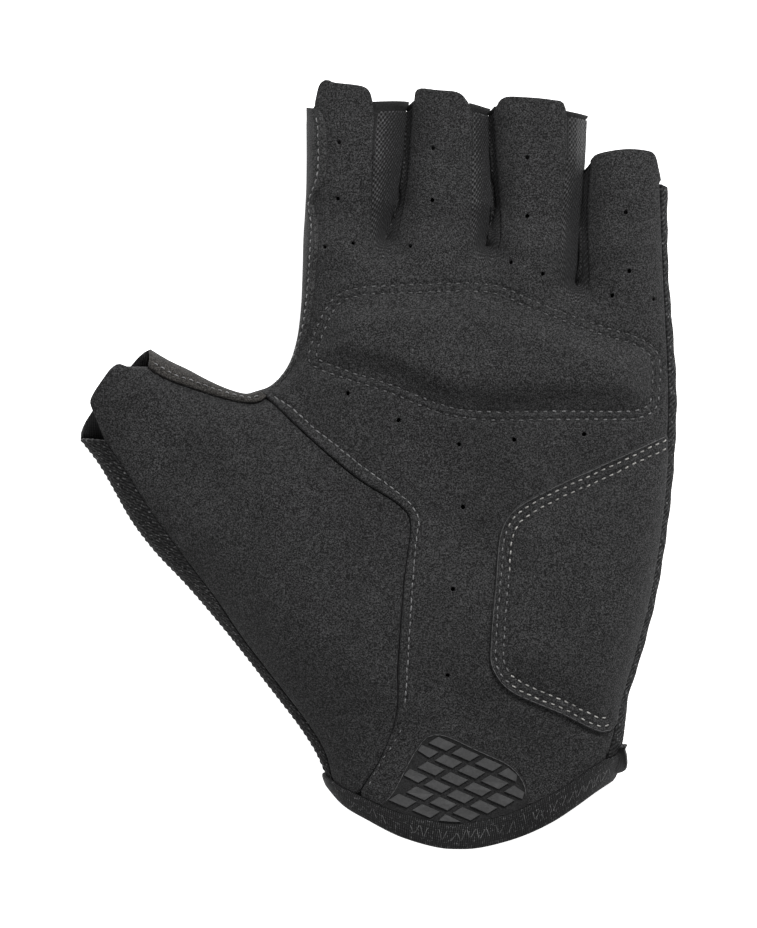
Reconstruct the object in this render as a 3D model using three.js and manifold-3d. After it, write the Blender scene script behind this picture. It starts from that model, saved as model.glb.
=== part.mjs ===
// A fingerless cycling glove for the left hand, lying on its back with the palm up.
// Millimetres, +Z up, fingers towards +Y, thumb towards -X.
// The origin is on the flat of the back panel, where the glove rests.
//
// The whole glove follows one skin. Seen from above, the skin is bounded by wall lines: the
// sides of the hand, the slits between the fingers and the web of the thumb. From a wall line
// the skin rises over a round rim to the palm, and falls under a round rim to the flat back.
// Every leather or mesh panel is a stretch of that skin between two seams.

import * as THREE from 'three';
import Module from 'manifold-3d';

const wasm = await Module();
wasm.setup();

// Plan sizes.
const palmBreadth = 95.5; // index side to little finger side
const thumbReach = 58.5; // index side to the tip of the thumb
const handLength = 154; // lip of the wrist to the finger roots
const fingerLength = 43.5; // finger roots to the longest finger front

// Heights of the lying glove.
const wristHeight = 21;
const palmHeight = 27;
const knuckleHeight = 24;
const fingerHeight = 19;
const fingerEndHeight = 17;
const thumbHeight = 20;

// How far in from a wall line the skin takes to level out.
const wristRim = 17;
const palmRim = 25;
const knuckleRim = 17;
const fingerRim = 9.5;
const thumbRim = 15;
const backRim = 7;
const widestShare = 0.42; // height of the widest line, as a share of the height there
const thumbStart = 0.05; // where the palm's form begins to turn into the thumb's, across
const thumbTurn = 0.55; // width of that change, across

// Materials and clearances.
const leatherWall = 1.2;
const meshWall = 1.1;
const stripWall = 1.3;
const cuffWall = 2;
const cuffLift = 0.4; // the cuff stands proud of the palm
const seamGap = 0.3;
const fingerSlit = 0.8; // clear width between two neighbouring fingers
const backInset = 3.6; // width of a side panel that turns under the glove
const underGap = 0.5; // between the side panels and the back, under the glove

// Pads and patch.
const knuckleSwell = 2.2;
const knucklePadBase = 1;
const knucklePadMargin = 2.5; // stitched border of the knuckle pad
const heelPadWall = 1.2;
const heelSwell = 1.3;
const swellEdge = 9; // width over which a pad rises
const palmLap = 0.8; // the palm's folded edge stands over the thumb panel
const palmLapWidth = 5;
const patchWall = 0.8;
const treadHeight = 0.7;
const treadLength = 5.4;
const treadWidth = 3;
const treadPitchAcross = 7.2;
const treadPitchAlong = 4.3;
const treadLean = 1.6;
const treadTilt = THREE.MathUtils.degToRad(-14);
const padGap = 0.6; // from the side seam or the cuff to a piece sewn onto the palm
const treadBorder = 1.2; // bare border around the tread blocks
const tabReach = 2.7; // how far the cuff tab stands out
const tabHeight = 8;

// Mesh of the solids.
const facet = 5;
const coarseFacet = 6.5;
const fillMargin = 0.55; // clear border inside an outline, as a share of the facet
const bandRowsOver = 3;
const bandRowsUnder = 2;
const wallExtension = 18;

// The origin, as shares of the plan.
const restAcross = 0.2;
const restAlong = 0.6415;

// Plan points are shares. across: 0 at the index side, 1 at the little finger side, -1 at the
// tip of the thumb. along: 0 at the wrist's lip, 1 at the finger roots, 2 at the finger ends.
const littleSide = [
  { across: 0.977, along: 1.375 },
  { across: 0.978, along: 0.966 },
  { across: 0.989, along: 0.874 },
  { across: 1, along: 0.76 },
  { across: 0.994, along: 0.65 },
  { across: 0.978, along: 0.548 },
  { across: 0.946, along: 0.422 },
  { across: 0.905, along: 0.322 },
  { across: 0.868, along: 0.246 },
  { across: 0.86, along: 0.193 },
  { across: 0.847, along: 0.157 },
];
const littleSeam = [
  { across: 0.956, along: 1.39 },
  { across: 0.962, along: 1 },
  { across: 0.97, along: 0.883 },
  { across: 0.978, along: 0.765 },
  { across: 0.973, along: 0.665 },
  { across: 0.957, along: 0.548 },
  { across: 0.924, along: 0.422 },
  { across: 0.884, along: 0.327 },
  { across: 0.846, along: 0.246 },
  { across: 0.83, along: 0.19 },
  { across: 0.817, along: 0.16 },
];
const indexSide = [
  { across: 0.001, along: 1.85 },
  { across: 0.002, along: 1.54 },
  { across: 0, along: 1.3 },
  { across: -0.01, along: 1.09 },
  { across: -0.014, along: 0.966 },
  { across: -0.022, along: 0.9 },
  { across: -0.04, along: 0.846 },
  { across: -0.07, along: 0.809 },
  { across: -0.118, along: 0.782 },
  { across: -0.168, along: 0.768 },
  { across: -0.221, along: 0.763 },
];
const indexSeam = [
  { across: 0.048, along: 1.8 },
  { across: 0.056, along: 1.68 },
  { across: 0.053, along: 1.43 },
  { across: 0.022, along: 1.28 },
  { across: 0.034, along: 1.15 },
  { across: 0.03, along: 0.98 },
  { across: 0.019, along: 0.916 },
  { across: 0.008, along: 0.873 },
  { across: -0.018, along: 0.838 },
  { across: -0.057, along: 0.804 },
  { across: -0.115, along: 0.775 },
  { across: -0.172, along: 0.754 },
];
const thumbTop = [
  { across: -0.221, along: 0.763 },
  { across: -0.265, along: 0.759 },
  { across: -0.332, along: 0.765 },
  { across: -0.434, along: 0.782 },
  { across: -0.518, along: 0.799 },
  { across: -0.611, along: 0.816 },
  { across: -0.69, along: 0.834 },
];
const thumbTopSeam = [
  { across: -0.172, along: 0.754 },
  { across: -0.221, along: 0.745 },
  { across: -0.292, along: 0.747 },
  { across: -0.38, along: 0.755 },
  { across: -0.513, along: 0.771 },
  { across: -0.624, along: 0.787 },
  { across: -0.692, along: 0.803 },
];
const thumbSide = [
  { across: -0.996, along: 0.682 },
  { across: -0.916, along: 0.642 },
  { across: -0.841, along: 0.593 },
  { across: -0.774, along: 0.548 },
  { across: -0.673, along: 0.497 },
  { across: -0.522, along: 0.436 },
  { across: -0.332, along: 0.351 },
  { across: -0.168, along: 0.271 },
  { across: -0.018, along: 0.196 },
  { across: 0.032, along: 0.152 },
  { across: 0.051, along: 0.124 },
];
const thumbSideSeam = [
  { across: -0.885, along: 0.68 },
  { across: -0.814, along: 0.642 },
  { across: -0.686, along: 0.564 },
  { across: -0.527, along: 0.481 },
  { across: -0.398, along: 0.417 },
  { across: -0.292, along: 0.357 },
  { across: -0.137, along: 0.28 },
  { across: 0.008, along: 0.204 },
  { across: 0.051, along: 0.159 },
  { across: 0.068, along: 0.118 },
];
const thumbSeam = [
  { across: -0.172, along: 0.754 },
  { across: 0.016, along: 0.683 },
  { across: 0.141, along: 0.618 },
  { across: 0.255, along: 0.572 },
  { across: 0.28, along: 0.551 },
  { across: 0.265, along: 0.447 },
  { across: 0.249, along: 0.307 },
  { across: 0.245, along: 0.226 },
  { across: 0.2, along: 0.149 },
  { across: 0.141, along: 0.092 },
];
const cuffSeam = [
  { across: 0.051, along: 0.124 },
  { across: 0.086, along: 0.105 },
  { across: 0.143, along: 0.087 },
  { across: 0.243, along: 0.062 },
  { across: 0.362, along: 0.044 },
  { across: 0.422, along: 0.042 },
  { across: 0.5, along: 0.05 },
  { across: 0.581, along: 0.067 },
  { across: 0.686, along: 0.099 },
  { across: 0.789, along: 0.141 },
  { across: 0.847, along: 0.157 },
];
const cuffLip = [
  { across: 0.066, along: 0.099 },
  { across: 0.108, along: 0.07 },
  { across: 0.176, along: 0.045 },
  { across: 0.257, along: 0.02 },
  { across: 0.359, along: 0.002 },
  { across: 0.408, along: 0 },
  { across: 0.465, along: 0.002 },
  { across: 0.576, along: 0.02 },
  { across: 0.662, along: 0.045 },
  { across: 0.724, along: 0.07 },
  { across: 0.781, along: 0.095 },
  { across: 0.826, along: 0.112 },
];

// Valleys between the fingers, from the left finger's front down round the root and up to the
// right finger's front. across and along are the leather's edge, slitAcross and slitAlong the
// slit's middle line, and turn says which side of the slit the row is on.
const valleys = [
  {
    name: 'index_middle',
    rows: [
      { across: 0.185, along: 1.815, slitAcross: 0.272, slitAlong: 1.825, turn: -1 },
      { across: 0.18, along: 1.536, slitAcross: 0.264, slitAlong: 1.56, turn: -1 },
      { across: 0.178, along: 1.268, slitAcross: 0.248, slitAlong: 1.27, turn: -1 },
      { across: 0.184, along: 1.06, slitAcross: 0.2236, slitAlong: 1.122, turn: -1 },
      { across: 0.208, along: 0.985, slitAcross: 0.2174, slitAlong: 1.072, turn: 0 },
      { across: 0.234, along: 1.024, slitAcross: 0.2236, slitAlong: 1.122, turn: 1 },
      { across: 0.254, along: 1.18, slitAcross: 0.235, slitAlong: 1.222, turn: 1 },
      { across: 0.27, along: 1.387, slitAcross: 0.257, slitAlong: 1.387, turn: 1 },
      { across: 0.278, along: 1.595, slitAcross: 0.266, slitAlong: 1.595, turn: 1 },
      { across: 0.285, along: 1.845, slitAcross: 0.272, slitAlong: 1.825, turn: 1 },
    ],
  },
  {
    name: 'middle_ring',
    rows: [
      { across: 0.449, along: 1.821, slitAcross: 0.494, slitAlong: 1.8, turn: -1 },
      { across: 0.451, along: 1.536, slitAcross: 0.497, slitAlong: 1.58, turn: -1 },
      { across: 0.449, along: 1.238, slitAcross: 0.51, slitAlong: 1.26, turn: -1 },
      { across: 0.454, along: 1.018, slitAcross: 0.4886, slitAlong: 1.07, turn: -1 },
      { across: 0.484, along: 0.974, slitAcross: 0.4882, slitAlong: 1.024, turn: 0 },
      { across: 0.517, along: 1, slitAcross: 0.4926, slitAlong: 1.07, turn: 1 },
      { across: 0.524, along: 1.167, slitAcross: 0.497, slitAlong: 1.196, turn: 1 },
      { across: 0.516, along: 1.417, slitAcross: 0.504, slitAlong: 1.417, turn: 1 },
      { across: 0.509, along: 1.625, slitAcross: 0.4975, slitAlong: 1.625, turn: 1 },
      { across: 0.505, along: 1.821, slitAcross: 0.494, slitAlong: 1.8, turn: 1 },
    ],
  },
  {
    name: 'ring_little',
    rows: [
      { across: 0.705, along: 1.792, slitAcross: 0.758, slitAlong: 1.774, turn: -1 },
      { across: 0.704, along: 1.536, slitAcross: 0.753, slitAlong: 1.54, turn: -1 },
      { across: 0.695, along: 1.238, slitAcross: 0.742, slitAlong: 1.25, turn: -1 },
      { across: 0.69, along: 0.98, slitAcross: 0.736, slitAlong: 1.02, turn: -1 },
      { across: 0.697, along: 0.933, slitAcross: 0.734, slitAlong: 0.97, turn: -1 },
      { across: 0.727, along: 0.911, slitAcross: 0.731, slitAlong: 0.945, turn: 0 },
      { across: 0.757, along: 0.936, slitAcross: 0.738, slitAlong: 0.97, turn: 1 },
      { across: 0.759, along: 1, slitAcross: 0.74, slitAlong: 1.02, turn: 1 },
      { across: 0.757, along: 1.208, slitAcross: 0.741, slitAlong: 1.22, turn: 1 },
      { across: 0.765, along: 1.5, slitAcross: 0.75, slitAlong: 1.46, turn: 1 },
    ],
  },
];

// The leather's front on each finger, from its little finger side to its index side.
const fingerFronts = {
  little: [
    { across: 0.959, along: 1.42 },
    { across: 0.945, along: 1.565 },
    { across: 0.916, along: 1.592 },
    { across: 0.854, along: 1.586 },
    { across: 0.795, along: 1.56 },
  ],
  ring: [
    { across: 0.689, along: 1.863 },
    { across: 0.667, along: 1.885 },
    { across: 0.532, along: 1.902 },
    { across: 0.512, along: 1.875 },
  ],
  middle: [
    { across: 0.43, along: 1.905 },
    { across: 0.411, along: 1.932 },
    { across: 0.303, along: 1.955 },
    { across: 0.289, along: 1.905 },
  ],
  index: [
    { across: 0.165, along: 1.946 },
    { across: 0.141, along: 1.976 },
    { across: 0.049, along: 2 },
    { across: 0.03, along: 1.97 },
    { across: 0.022, along: 1.893 },
    { across: 0.016, along: 1.835 },
  ],
};

// Where the back's front edge ends at the middle of each finger, as a share along.
const backFronts = { little: 1.51, ring: 1.85, middle: 1.88, index: 1.9 };
const thumbFront = [
  { across: -0.783, along: 0.808 },
  { across: -0.827, along: 0.808 },
  { across: -0.867, along: 0.797 },
  { across: -0.947, along: 0.747 },
  { across: -0.946, along: 0.732 },
];
const thumbBackFront = [
  { across: -0.748, along: 0.821 },
  { across: -0.823, along: 0.796 },
  { across: -0.912, along: 0.754 },
  { across: -0.97, along: 0.717 },
];

const knuckleLine = [
  { across: 0.006, along: 0.812 },
  { across: 0.026, along: 0.866 },
  { across: 0.073, along: 0.918 },
  { across: 0.13, along: 0.933 },
  { across: 0.3, along: 0.94 },
  { across: 0.5, along: 0.94 },
  { across: 0.605, along: 0.915 },
  { across: 0.811, along: 0.868 },
  { across: 0.913, along: 0.847 },
  { across: 0.95, along: 0.826 },
  { across: 0.955, along: 0.779 },
  { across: 0.945, along: 0.735 },
  { across: 0.91, along: 0.72 },
  { across: 0.673, along: 0.716 },
  { across: 0.45, along: 0.716 },
  { across: 0.357, along: 0.727 },
  { across: 0.224, along: 0.76 },
  { across: 0.051, along: 0.796 },
];
const heelEdge = [
  { across: 0.965, along: 0.692 },
  { across: 0.795, along: 0.642 },
  { across: 0.57, along: 0.572 },
  { across: 0.528, along: 0.54 },
  { across: 0.508, along: 0.45 },
  { across: 0.495, along: 0.357 },
  { across: 0.497, along: 0.305 },
  { across: 0.54, along: 0.268 },
  { across: 0.673, along: 0.229 },
  { across: 0.797, along: 0.194 },
  { across: 0.823, along: 0.2 },
];
const patchTop = [
  { across: 0.235, along: 0.095 },
  { across: 0.286, along: 0.162 },
  { across: 0.322, along: 0.193 },
  { across: 0.36, along: 0.194 },
  { across: 0.462, along: 0.168 },
  { across: 0.554, along: 0.139 },
  { across: 0.59, along: 0.11 },
  { across: 0.597, along: 0.08 },
];

// The cuff tab's outline, as shares of the cuff's end and of how far the tab stands out.
const tabShape = [
  { along: -0.09, out: 0 },
  { along: 0.85, out: 0 },
  { along: 0.75, out: 0.8 },
  { along: 0.6, out: 1 },
  { along: 0, out: 1 },
  { along: -0.18, out: 0.7 },
];

// Height and rim of the skin, a row for each section from the wrist to the finger ends.
const sections = [
  { along: 0, height: wristHeight, rim: wristRim },
  { along: 0.35, height: palmHeight, rim: palmRim },
  { along: 0.75, height: palmHeight, rim: palmRim },
  { along: 0.97, height: knuckleHeight, rim: knuckleRim },
  { along: 1.2, height: fingerHeight, rim: fingerRim },
  { along: 2, height: fingerEndHeight, rim: fingerRim },
];

// Broad swells and hollows of the palm: reach as a share of the palm's breadth, rise as a share
// of its height.
const moulds = [
  { name: 'hollow of the palm', across: 0.34, along: 0.56, reach: 0.2, rise: -0.09 },
  { name: 'ball of the thumb', across: -0.02, along: 0.42, reach: 0.26, rise: 0.1 },
  { name: 'crease at the wrist', across: 0.3, along: 0.2, reach: 0.14, rise: -0.06 },
  { name: 'heel of the palm', across: 0.74, along: 0.42, reach: 0.2, rise: 0.05 },
  { name: 'crease at the web', across: -0.06, along: 0.72, reach: 0.1, rise: -0.1 },
];

// Plan coordinates.

function planX(across) {
  const unit = across < 0 ? thumbReach : palmBreadth;
  return across * unit - restAcross * palmBreadth;
}

function planY(along) {
  const beyondRoots = Math.max(along - 1, 0);
  const withinHand = Math.min(along, 1);
  return withinHand * handLength + beyondRoots * fingerLength - restAlong * handLength;
}

function shareAcross(x) {
  const fromIndexSide = x + restAcross * palmBreadth;
  return fromIndexSide / (fromIndexSide < 0 ? thumbReach : palmBreadth);
}

function shareAlong(y) {
  const fromLip = y + restAlong * handLength;
  return fromLip <= handLength ? fromLip / handLength : 1 + (fromLip - handLength) / fingerLength;
}

function planPoint(row) {
  return new THREE.Vector2(planX(row.across), planY(row.along));
}

// Points of a polyline at an even step, with its corners kept.
function subdivide(corners, step = facet) {
  const points = [corners[0].clone()];
  for (let i = 1; i < corners.length; i += 1) {
    const count = Math.max(1, Math.round(corners[i - 1].distanceTo(corners[i]) / step));
    for (let j = 1; j <= count; j += 1) {
      points.push(corners[i - 1].clone().lerp(corners[i], j / count));
    }
  }
  return points;
}

// A smooth line through the points, as count equal steps.
function smooth(points, count) {
  const through = points.map((point) => new THREE.Vector3(point.x, point.y, 0));
  const curve = new THREE.CatmullRomCurve3(through, false, 'centripetal');
  const steps = count ?? Math.max(points.length - 1, Math.round(curve.getLength() / facet));
  return curve.getSpacedPoints(steps).map((point) => new THREE.Vector2(point.x, point.y));
}

function smoothRows(rows, count) {
  return smooth(rows.map(planPoint), count);
}

function lineLength(points) {
  let length = 0;
  for (let i = 1; i < points.length; i += 1) {
    length += points[i].distanceTo(points[i - 1]);
  }
  return length;
}

// The same line with its ends moved on by a distance, or back where the distance is negative.
function stretchEnds(points, atStart, atEnd) {
  const moved = points.map((point) => point.clone());
  const last = points.length - 1;
  const startWay = points[0].clone().sub(points[1]).normalize();
  const endWay = points[last].clone().sub(points[last - 1]).normalize();
  moved[0].addScaledVector(startWay, atStart);
  moved[last].addScaledVector(endWay, atEnd);
  return moved;
}

// The points of a line whose x lies between two values and not too close to either.
function betweenX(points, from, to) {
  const margin = facet / 3;
  return points.filter((point) => point.x > from + margin && point.x < to - margin);
}

function isInside(point, outline) {
  let inside = false;
  for (let i = 0, j = outline.length - 1; i < outline.length; j = i, i += 1) {
    const a = outline[i];
    const b = outline[j];
    const crosses = a.y > point.y !== b.y > point.y;
    if (crosses && point.x < ((b.x - a.x) * (point.y - a.y)) / (b.y - a.y) + a.x) {
      inside = !inside;
    }
  }
  return inside;
}

function segmentDistance(x, y, a, b) {
  const dx = b.x - a.x;
  const dy = b.y - a.y;
  const along = ((x - a.x) * dx + (y - a.y) * dy) / (dx * dx + dy * dy);
  const share = Math.min(1, Math.max(0, along));
  return Math.hypot(x - a.x - share * dx, y - a.y - share * dy);
}

function lineDistance(x, y, line) {
  let nearest = Infinity;
  for (let i = 1; i < line.length; i += 1) {
    nearest = Math.min(nearest, segmentDistance(x, y, line[i - 1], line[i]));
  }
  return nearest;
}

// A closed outline moved in by a distance. The outline runs anticlockwise.
function shrink(outline, distance) {
  return outline.map((point, i) => {
    const before = outline[(i + outline.length - 1) % outline.length];
    const after = outline[(i + 1) % outline.length];
    const inA = point.clone().sub(before).normalize();
    const inB = after.clone().sub(point).normalize();
    const inward = new THREE.Vector2(-inA.y - inB.y, inA.x + inB.x).normalize();
    const spread = Math.max(0.5, inward.x * -inB.y + inward.y * inB.x);
    return point.clone().addScaledVector(inward, distance / spread);
  });
}

// Wall lines of the skin.

function slitEdge(row) {
  const half = (row.turn * fingerSlit) / 2;
  const middle = new THREE.Vector2(planX(row.slitAcross), planY(row.slitAlong));
  const foot = row.turn === 0 ? -fingerSlit / 2 : 0;
  return middle.add(new THREE.Vector2(half, foot));
}

function slitMiddle(valley) {
  const rows = valley.rows.filter((row) => row.turn <= 0);
  const line = rows.map((row) => new THREE.Vector2(planX(row.slitAcross), planY(row.slitAlong)));
  return stretchEnds(line, wallExtension, 0);
}

const sideLines = {
  little: smoothRows(littleSide),
  index: smoothRows(indexSide),
  thumbTop: smoothRows(thumbTop),
  thumb: smoothRows(thumbSide),
};
const webLine = [...sideLines.index, ...sideLines.thumbTop.slice(1)];
const walls = [
  { line: stretchEnds(sideLines.little, wallExtension, wallExtension), half: 0 },
  { line: stretchEnds(webLine, wallExtension, wallExtension), half: 0 },
  { line: stretchEnds(sideLines.thumb, wallExtension, wallExtension), half: 0 },
  ...valleys.map((valley) => ({ line: slitMiddle(valley), half: fingerSlit / 2 })),
];

// Distance in from the nearest walls, blended so that the skin has no ridge between two walls.
function insetAt(x, y) {
  const blend = 4;
  const least = 0.01;
  let sum = 0;
  for (const wall of walls) {
    const distance = Math.max(lineDistance(x, y, wall.line) - wall.half, least);
    sum += distance ** -blend;
  }
  return sum ** (-1 / blend);
}

function ease(share) {
  const t = Math.min(1, Math.max(0, share));
  return t * t * (3 - 2 * t);
}

function formAt(x, y) {
  const along = shareAlong(y);
  const across = shareAcross(x);
  let upper = sections.findIndex((section) => section.along > along);
  upper = upper < 1 ? (upper === 0 ? 1 : sections.length - 1) : upper;
  const a = sections[upper - 1];
  const b = sections[upper];
  const share = ease((along - a.along) / (b.along - a.along));
  const thumbShare = ease((-across - thumbStart) / thumbTurn);
  const height = THREE.MathUtils.lerp(a.height, b.height, share);
  const rim = THREE.MathUtils.lerp(a.rim, b.rim, share);
  return {
    height: THREE.MathUtils.lerp(height, thumbHeight, thumbShare),
    rim: THREE.MathUtils.lerp(rim, thumbRim, thumbShare),
  };
}

function dome(share) {
  const out = 1 - Math.min(1, share);
  return Math.sqrt(1 - out * out);
}

const knuckleOutline = smoothRows([...knuckleLine, knuckleLine[0]]).slice(0, -1);
const knuckleRing = [...knuckleOutline, knuckleOutline[0]];
const thumbSeamLine = smoothRows(thumbSeam);

function knuckleSwellAt(x, y) {
  if (!isInside(new THREE.Vector2(x, y), knuckleOutline)) {
    return 0;
  }
  const inside = lineDistance(x, y, knuckleRing) - knucklePadMargin;
  return knuckleSwell * ease(inside / swellEdge);
}

function mouldAt(x, y) {
  let rise = 0;
  for (const mould of moulds) {
    const reach = mould.reach * palmBreadth;
    const distance = Math.hypot(x - planX(mould.across), y - planY(mould.along)) / reach;
    rise += mould.rise * palmHeight * Math.exp(-distance * distance);
  }
  return rise;
}

function widestAt(x, y) {
  return formAt(x, y).height * widestShare;
}

function topAt(x, y) {
  const form = formAt(x, y);
  const rise = dome(insetAt(x, y) / form.rim);
  const base = form.height * widestShare;
  return base + rise * (form.height - base + mouldAt(x, y) + knuckleSwellAt(x, y));
}

function bottomAt(x, y) {
  return widestAt(x, y) * (1 - dome(insetAt(x, y) / backRim));
}

// A point of the skin with its outward normal, on the palm's side or the back's.
function skinAt(x, y, side) {
  const heightAt = side === 'palm' ? topAt : bottomAt;
  const probe = 0.15;
  const slopeX = (heightAt(x + probe, y) - heightAt(x - probe, y)) / (2 * probe);
  const slopeY = (heightAt(x, y + probe) - heightAt(x, y - probe)) / (2 * probe);
  const normal = new THREE.Vector3(-slopeX, -slopeY, 1).normalize();
  if (side === 'back') {
    normal.negate();
  }
  return { point: new THREE.Vector3(x, y, heightAt(x, y)), normal };
}

// Triangles over a plan outline.

function circumcircle(a, b, c) {
  const bx = b.x - a.x;
  const by = b.y - a.y;
  const cx = c.x - a.x;
  const cy = c.y - a.y;
  const double = 2 * (bx * cy - by * cx);
  const bb = bx * bx + by * by;
  const cc = cx * cx + cy * cy;
  const x = (cy * bb - by * cc) / double;
  const y = (bx * cc - cx * bb) / double;
  return { x: a.x + x, y: a.y + y, square: x * x + y * y };
}

// Delaunay triangles of the points, by adding one point at a time.
function triangulate(points) {
  const far = 10 * (palmBreadth + thumbReach + handLength + fingerLength);
  const left = new THREE.Vector2(-far, -far);
  const right = new THREE.Vector2(far, -far);
  const all = [...points, left, right, new THREE.Vector2(0, far)];
  const first = points.length;
  const makeTriangle = (i, j, k) => {
    return { nodes: [i, j, k], circle: circumcircle(all[i], all[j], all[k]) };
  };
  let triangles = [makeTriangle(first, first + 1, first + 2)];
  points.forEach((point, index) => {
    const rim = new Map();
    const kept = [];
    for (const triangle of triangles) {
      const dx = point.x - triangle.circle.x;
      const dy = point.y - triangle.circle.y;
      if (dx * dx + dy * dy > triangle.circle.square) {
        kept.push(triangle);
        continue;
      }
      const [i, j, k] = triangle.nodes;
      for (const [from, to] of [[i, j], [j, k], [k, i]]) {
        if (!rim.delete(`${to}_${from}`)) {
          rim.set(`${from}_${to}`, [from, to]);
        }
      }
    }
    for (const [from, to] of rim.values()) {
      kept.push(makeTriangle(from, to, index));
    }
    triangles = kept;
  });
  const inner = triangles.filter((triangle) => triangle.nodes.every((node) => node < first));
  return inner.map((triangle) => triangle.nodes);
}

function fillPoints(outline, step) {
  const rowStep = (step * Math.sqrt(3)) / 2;
  const ring = [...outline, outline[0]];
  const box = new THREE.Box2().setFromPoints(outline);
  const points = [];
  for (let row = 0; box.min.y + row * rowStep < box.max.y; row += 1) {
    const y = box.min.y + row * rowStep;
    for (let x = box.min.x + (row % 2) * step * 0.5; x < box.max.x; x += step) {
      const point = new THREE.Vector2(x, y);
      if (isInside(point, outline) && lineDistance(x, y, ring) > step * fillMargin) {
        points.push(point);
      }
    }
  }
  return points;
}

// Splits each side of the outline that the triangles leave out, until they hold them all.
function triangulateOutline(outline, step) {
  let border = outline;
  for (;;) {
    const points = [...border, ...fillPoints(border, step)];
    const triangles = triangulate(points).filter((nodes) => {
      const middle = new THREE.Vector2();
      nodes.forEach((node) => middle.addScaledVector(points[node], 1 / 3));
      return isInside(middle, border);
    });
    const sides = new Set();
    triangles.forEach(([i, j, k]) => [[i, j], [j, k], [k, i]].forEach(([a, b]) => sides.add(`${a}_${b}`)));
    const next = [];
    border.forEach((point, i) => {
      const j = (i + 1) % border.length;
      next.push(point);
      if (!sides.has(`${i}_${j}`)) {
        next.push(point.clone().lerp(border[j], 0.5));
      }
    });
    if (next.length === border.length) {
      return { points, triangles };
    }
    border = next;
  }
}

// Solids from sheets.

function anticlockwise(outline) {
  return THREE.ShapeUtils.isClockWise(outline) ? [...outline].reverse() : outline;
}

function meshGeometry(vertices, triangles) {
  const geometry = new THREE.BufferGeometry();
  const positions = new Float32Array(vertices.length * 3);
  vertices.forEach((vertex, i) => vertex.toArray(positions, i * 3));
  geometry.setAttribute('position', new THREE.BufferAttribute(positions, 3));
  geometry.setIndex(triangles.flat());
  geometry.computeVertexNormals();
  return geometry;
}

// A closed solid between two layers of the same sheet. depth gives, for each sheet point, how
// far the outer and the inner layer lie from the skin along its normal.
function solidFromSheet(sheet, triangles, depth) {
  const count = sheet.length;
  const layer = (key) => sheet.map((node) => {
    return node.point.clone().addScaledVector(node.normal, depth(node)[key]);
  });
  const vertices = [...layer('outer'), ...layer('inner')];
  const faces = [];
  const open = new Map();
  for (const [i, j, k] of triangles) {
    faces.push([i, j, k], [count + i, count + k, count + j]);
    for (const [from, to] of [[i, j], [j, k], [k, i]]) {
      if (!open.delete(`${to}_${from}`)) {
        open.set(`${from}_${to}`, [from, to]);
      }
    }
  }
  for (const [from, to] of open.values()) {
    faces.push([from, count + from, to], [to, count + from, count + to]);
  }
  return meshGeometry(vertices, faces);
}

function panelSheet(outline, side, step = facet) {
  const { points, triangles } = triangulateOutline(anticlockwise(outline), step);
  const sheet = points.map((point) => skinAt(point.x, point.y, side));
  const faces = side === 'palm' ? triangles : triangles.map(([i, j, k]) => [i, k, j]);
  return { sheet, faces };
}

// Across the rim at a wall line: from the top seam over the widest line to an inset underneath.
function bandSection(edge, seam) {
  const inward = seam.clone().sub(edge);
  const width = inward.length();
  inward.normalize();
  const rim = formAt(seam.x, seam.y).rim;
  const topTurn = Math.acos(Math.max(0, 1 - width / rim));
  const underTurn = Math.acos(1 - backInset / backRim);
  const nodes = [];
  for (let i = bandRowsOver; i > 0; i -= 1) {
    const inset = (width * (1 - Math.cos((topTurn * i) / bandRowsOver))) / (1 - Math.cos(topTurn));
    const point = edge.clone().addScaledVector(inward, inset);
    nodes.push(skinAt(point.x, point.y, 'palm'));
  }
  const outward = new THREE.Vector3(-inward.x, -inward.y, 0);
  nodes.push({ point: new THREE.Vector3(edge.x, edge.y, widestAt(edge.x, edge.y)), normal: outward });
  for (let i = 1; i <= bandRowsUnder; i += 1) {
    const inset = backRim * (1 - Math.cos((underTurn * i) / bandRowsUnder));
    const point = edge.clone().addScaledVector(inward, inset);
    nodes.push(skinAt(point.x, point.y, 'back'));
  }
  return nodes;
}

// A grid of sections as a sheet. flip turns its faces over.
function gridSheet(sectionsList, flip) {
  const size = sectionsList[0].length;
  const sheet = sectionsList.flat();
  const faces = [];
  for (let i = 0; i + 1 < sectionsList.length; i += 1) {
    for (let j = 0; j + 1 < size; j += 1) {
      const a = i * size + j;
      const b = a + size;
      const quad = [[a, b, b + 1], [a, b + 1, a + 1]];
      faces.push(...quad.map(([p, q, r]) => (flip ? [p, r, q] : [p, q, r])));
    }
  }
  return { sheet, faces };
}

function bandSheet(edges, seams, flip) {
  return gridSheet(edges.map((edge, i) => bandSection(edge, seams[i])), flip);
}

function underSeam(edges, seams, inset) {
  return edges.map((edge, i) => {
    const inward = seams[i].clone().sub(edge).normalize();
    return edge.clone().addScaledVector(inward, inset);
  });
}

// Two sheets as one, sharing the points that lie together.
function joinSheets(parts) {
  const near = 0.01;
  const sheet = [];
  const faces = [];
  const places = new Map();
  for (const part of parts) {
    const index = part.sheet.map((node) => {
      const key = node.point.toArray().map((value) => Math.round(value / near)).join('_');
      if (!places.has(key)) {
        places.set(key, sheet.length);
        sheet.push(node);
      }
      return places.get(key);
    });
    part.faces.forEach((face) => faces.push(face.map((node) => index[node])));
  }
  return { sheet, faces };
}

const evenWall = (wall) => () => ({ outer: 0, inner: -wall });

// Materials.

function cloth(name, color, roughness) {
  return new THREE.MeshStandardMaterial({ name, color, roughness, metalness: 0 });
}

const suede = cloth('suede', 0x33353a, 0.92);
const thumbSuede = cloth('thumb_suede', 0x2f3135, 0.92);
const knit = cloth('mesh_knit', 0x1d1e20, 0.95);
const hemTape = cloth('hem_tape', 0x3a3b3e, 0.88);
const elastic = cloth('cuff_elastic', 0x212224, 0.9);
const gel = cloth('gel', 0x2a2b2e, 0.7);
const gripRubber = cloth('grip_rubber', 0x26272a, 0.75);

// Seam lines that several panels share.

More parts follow.
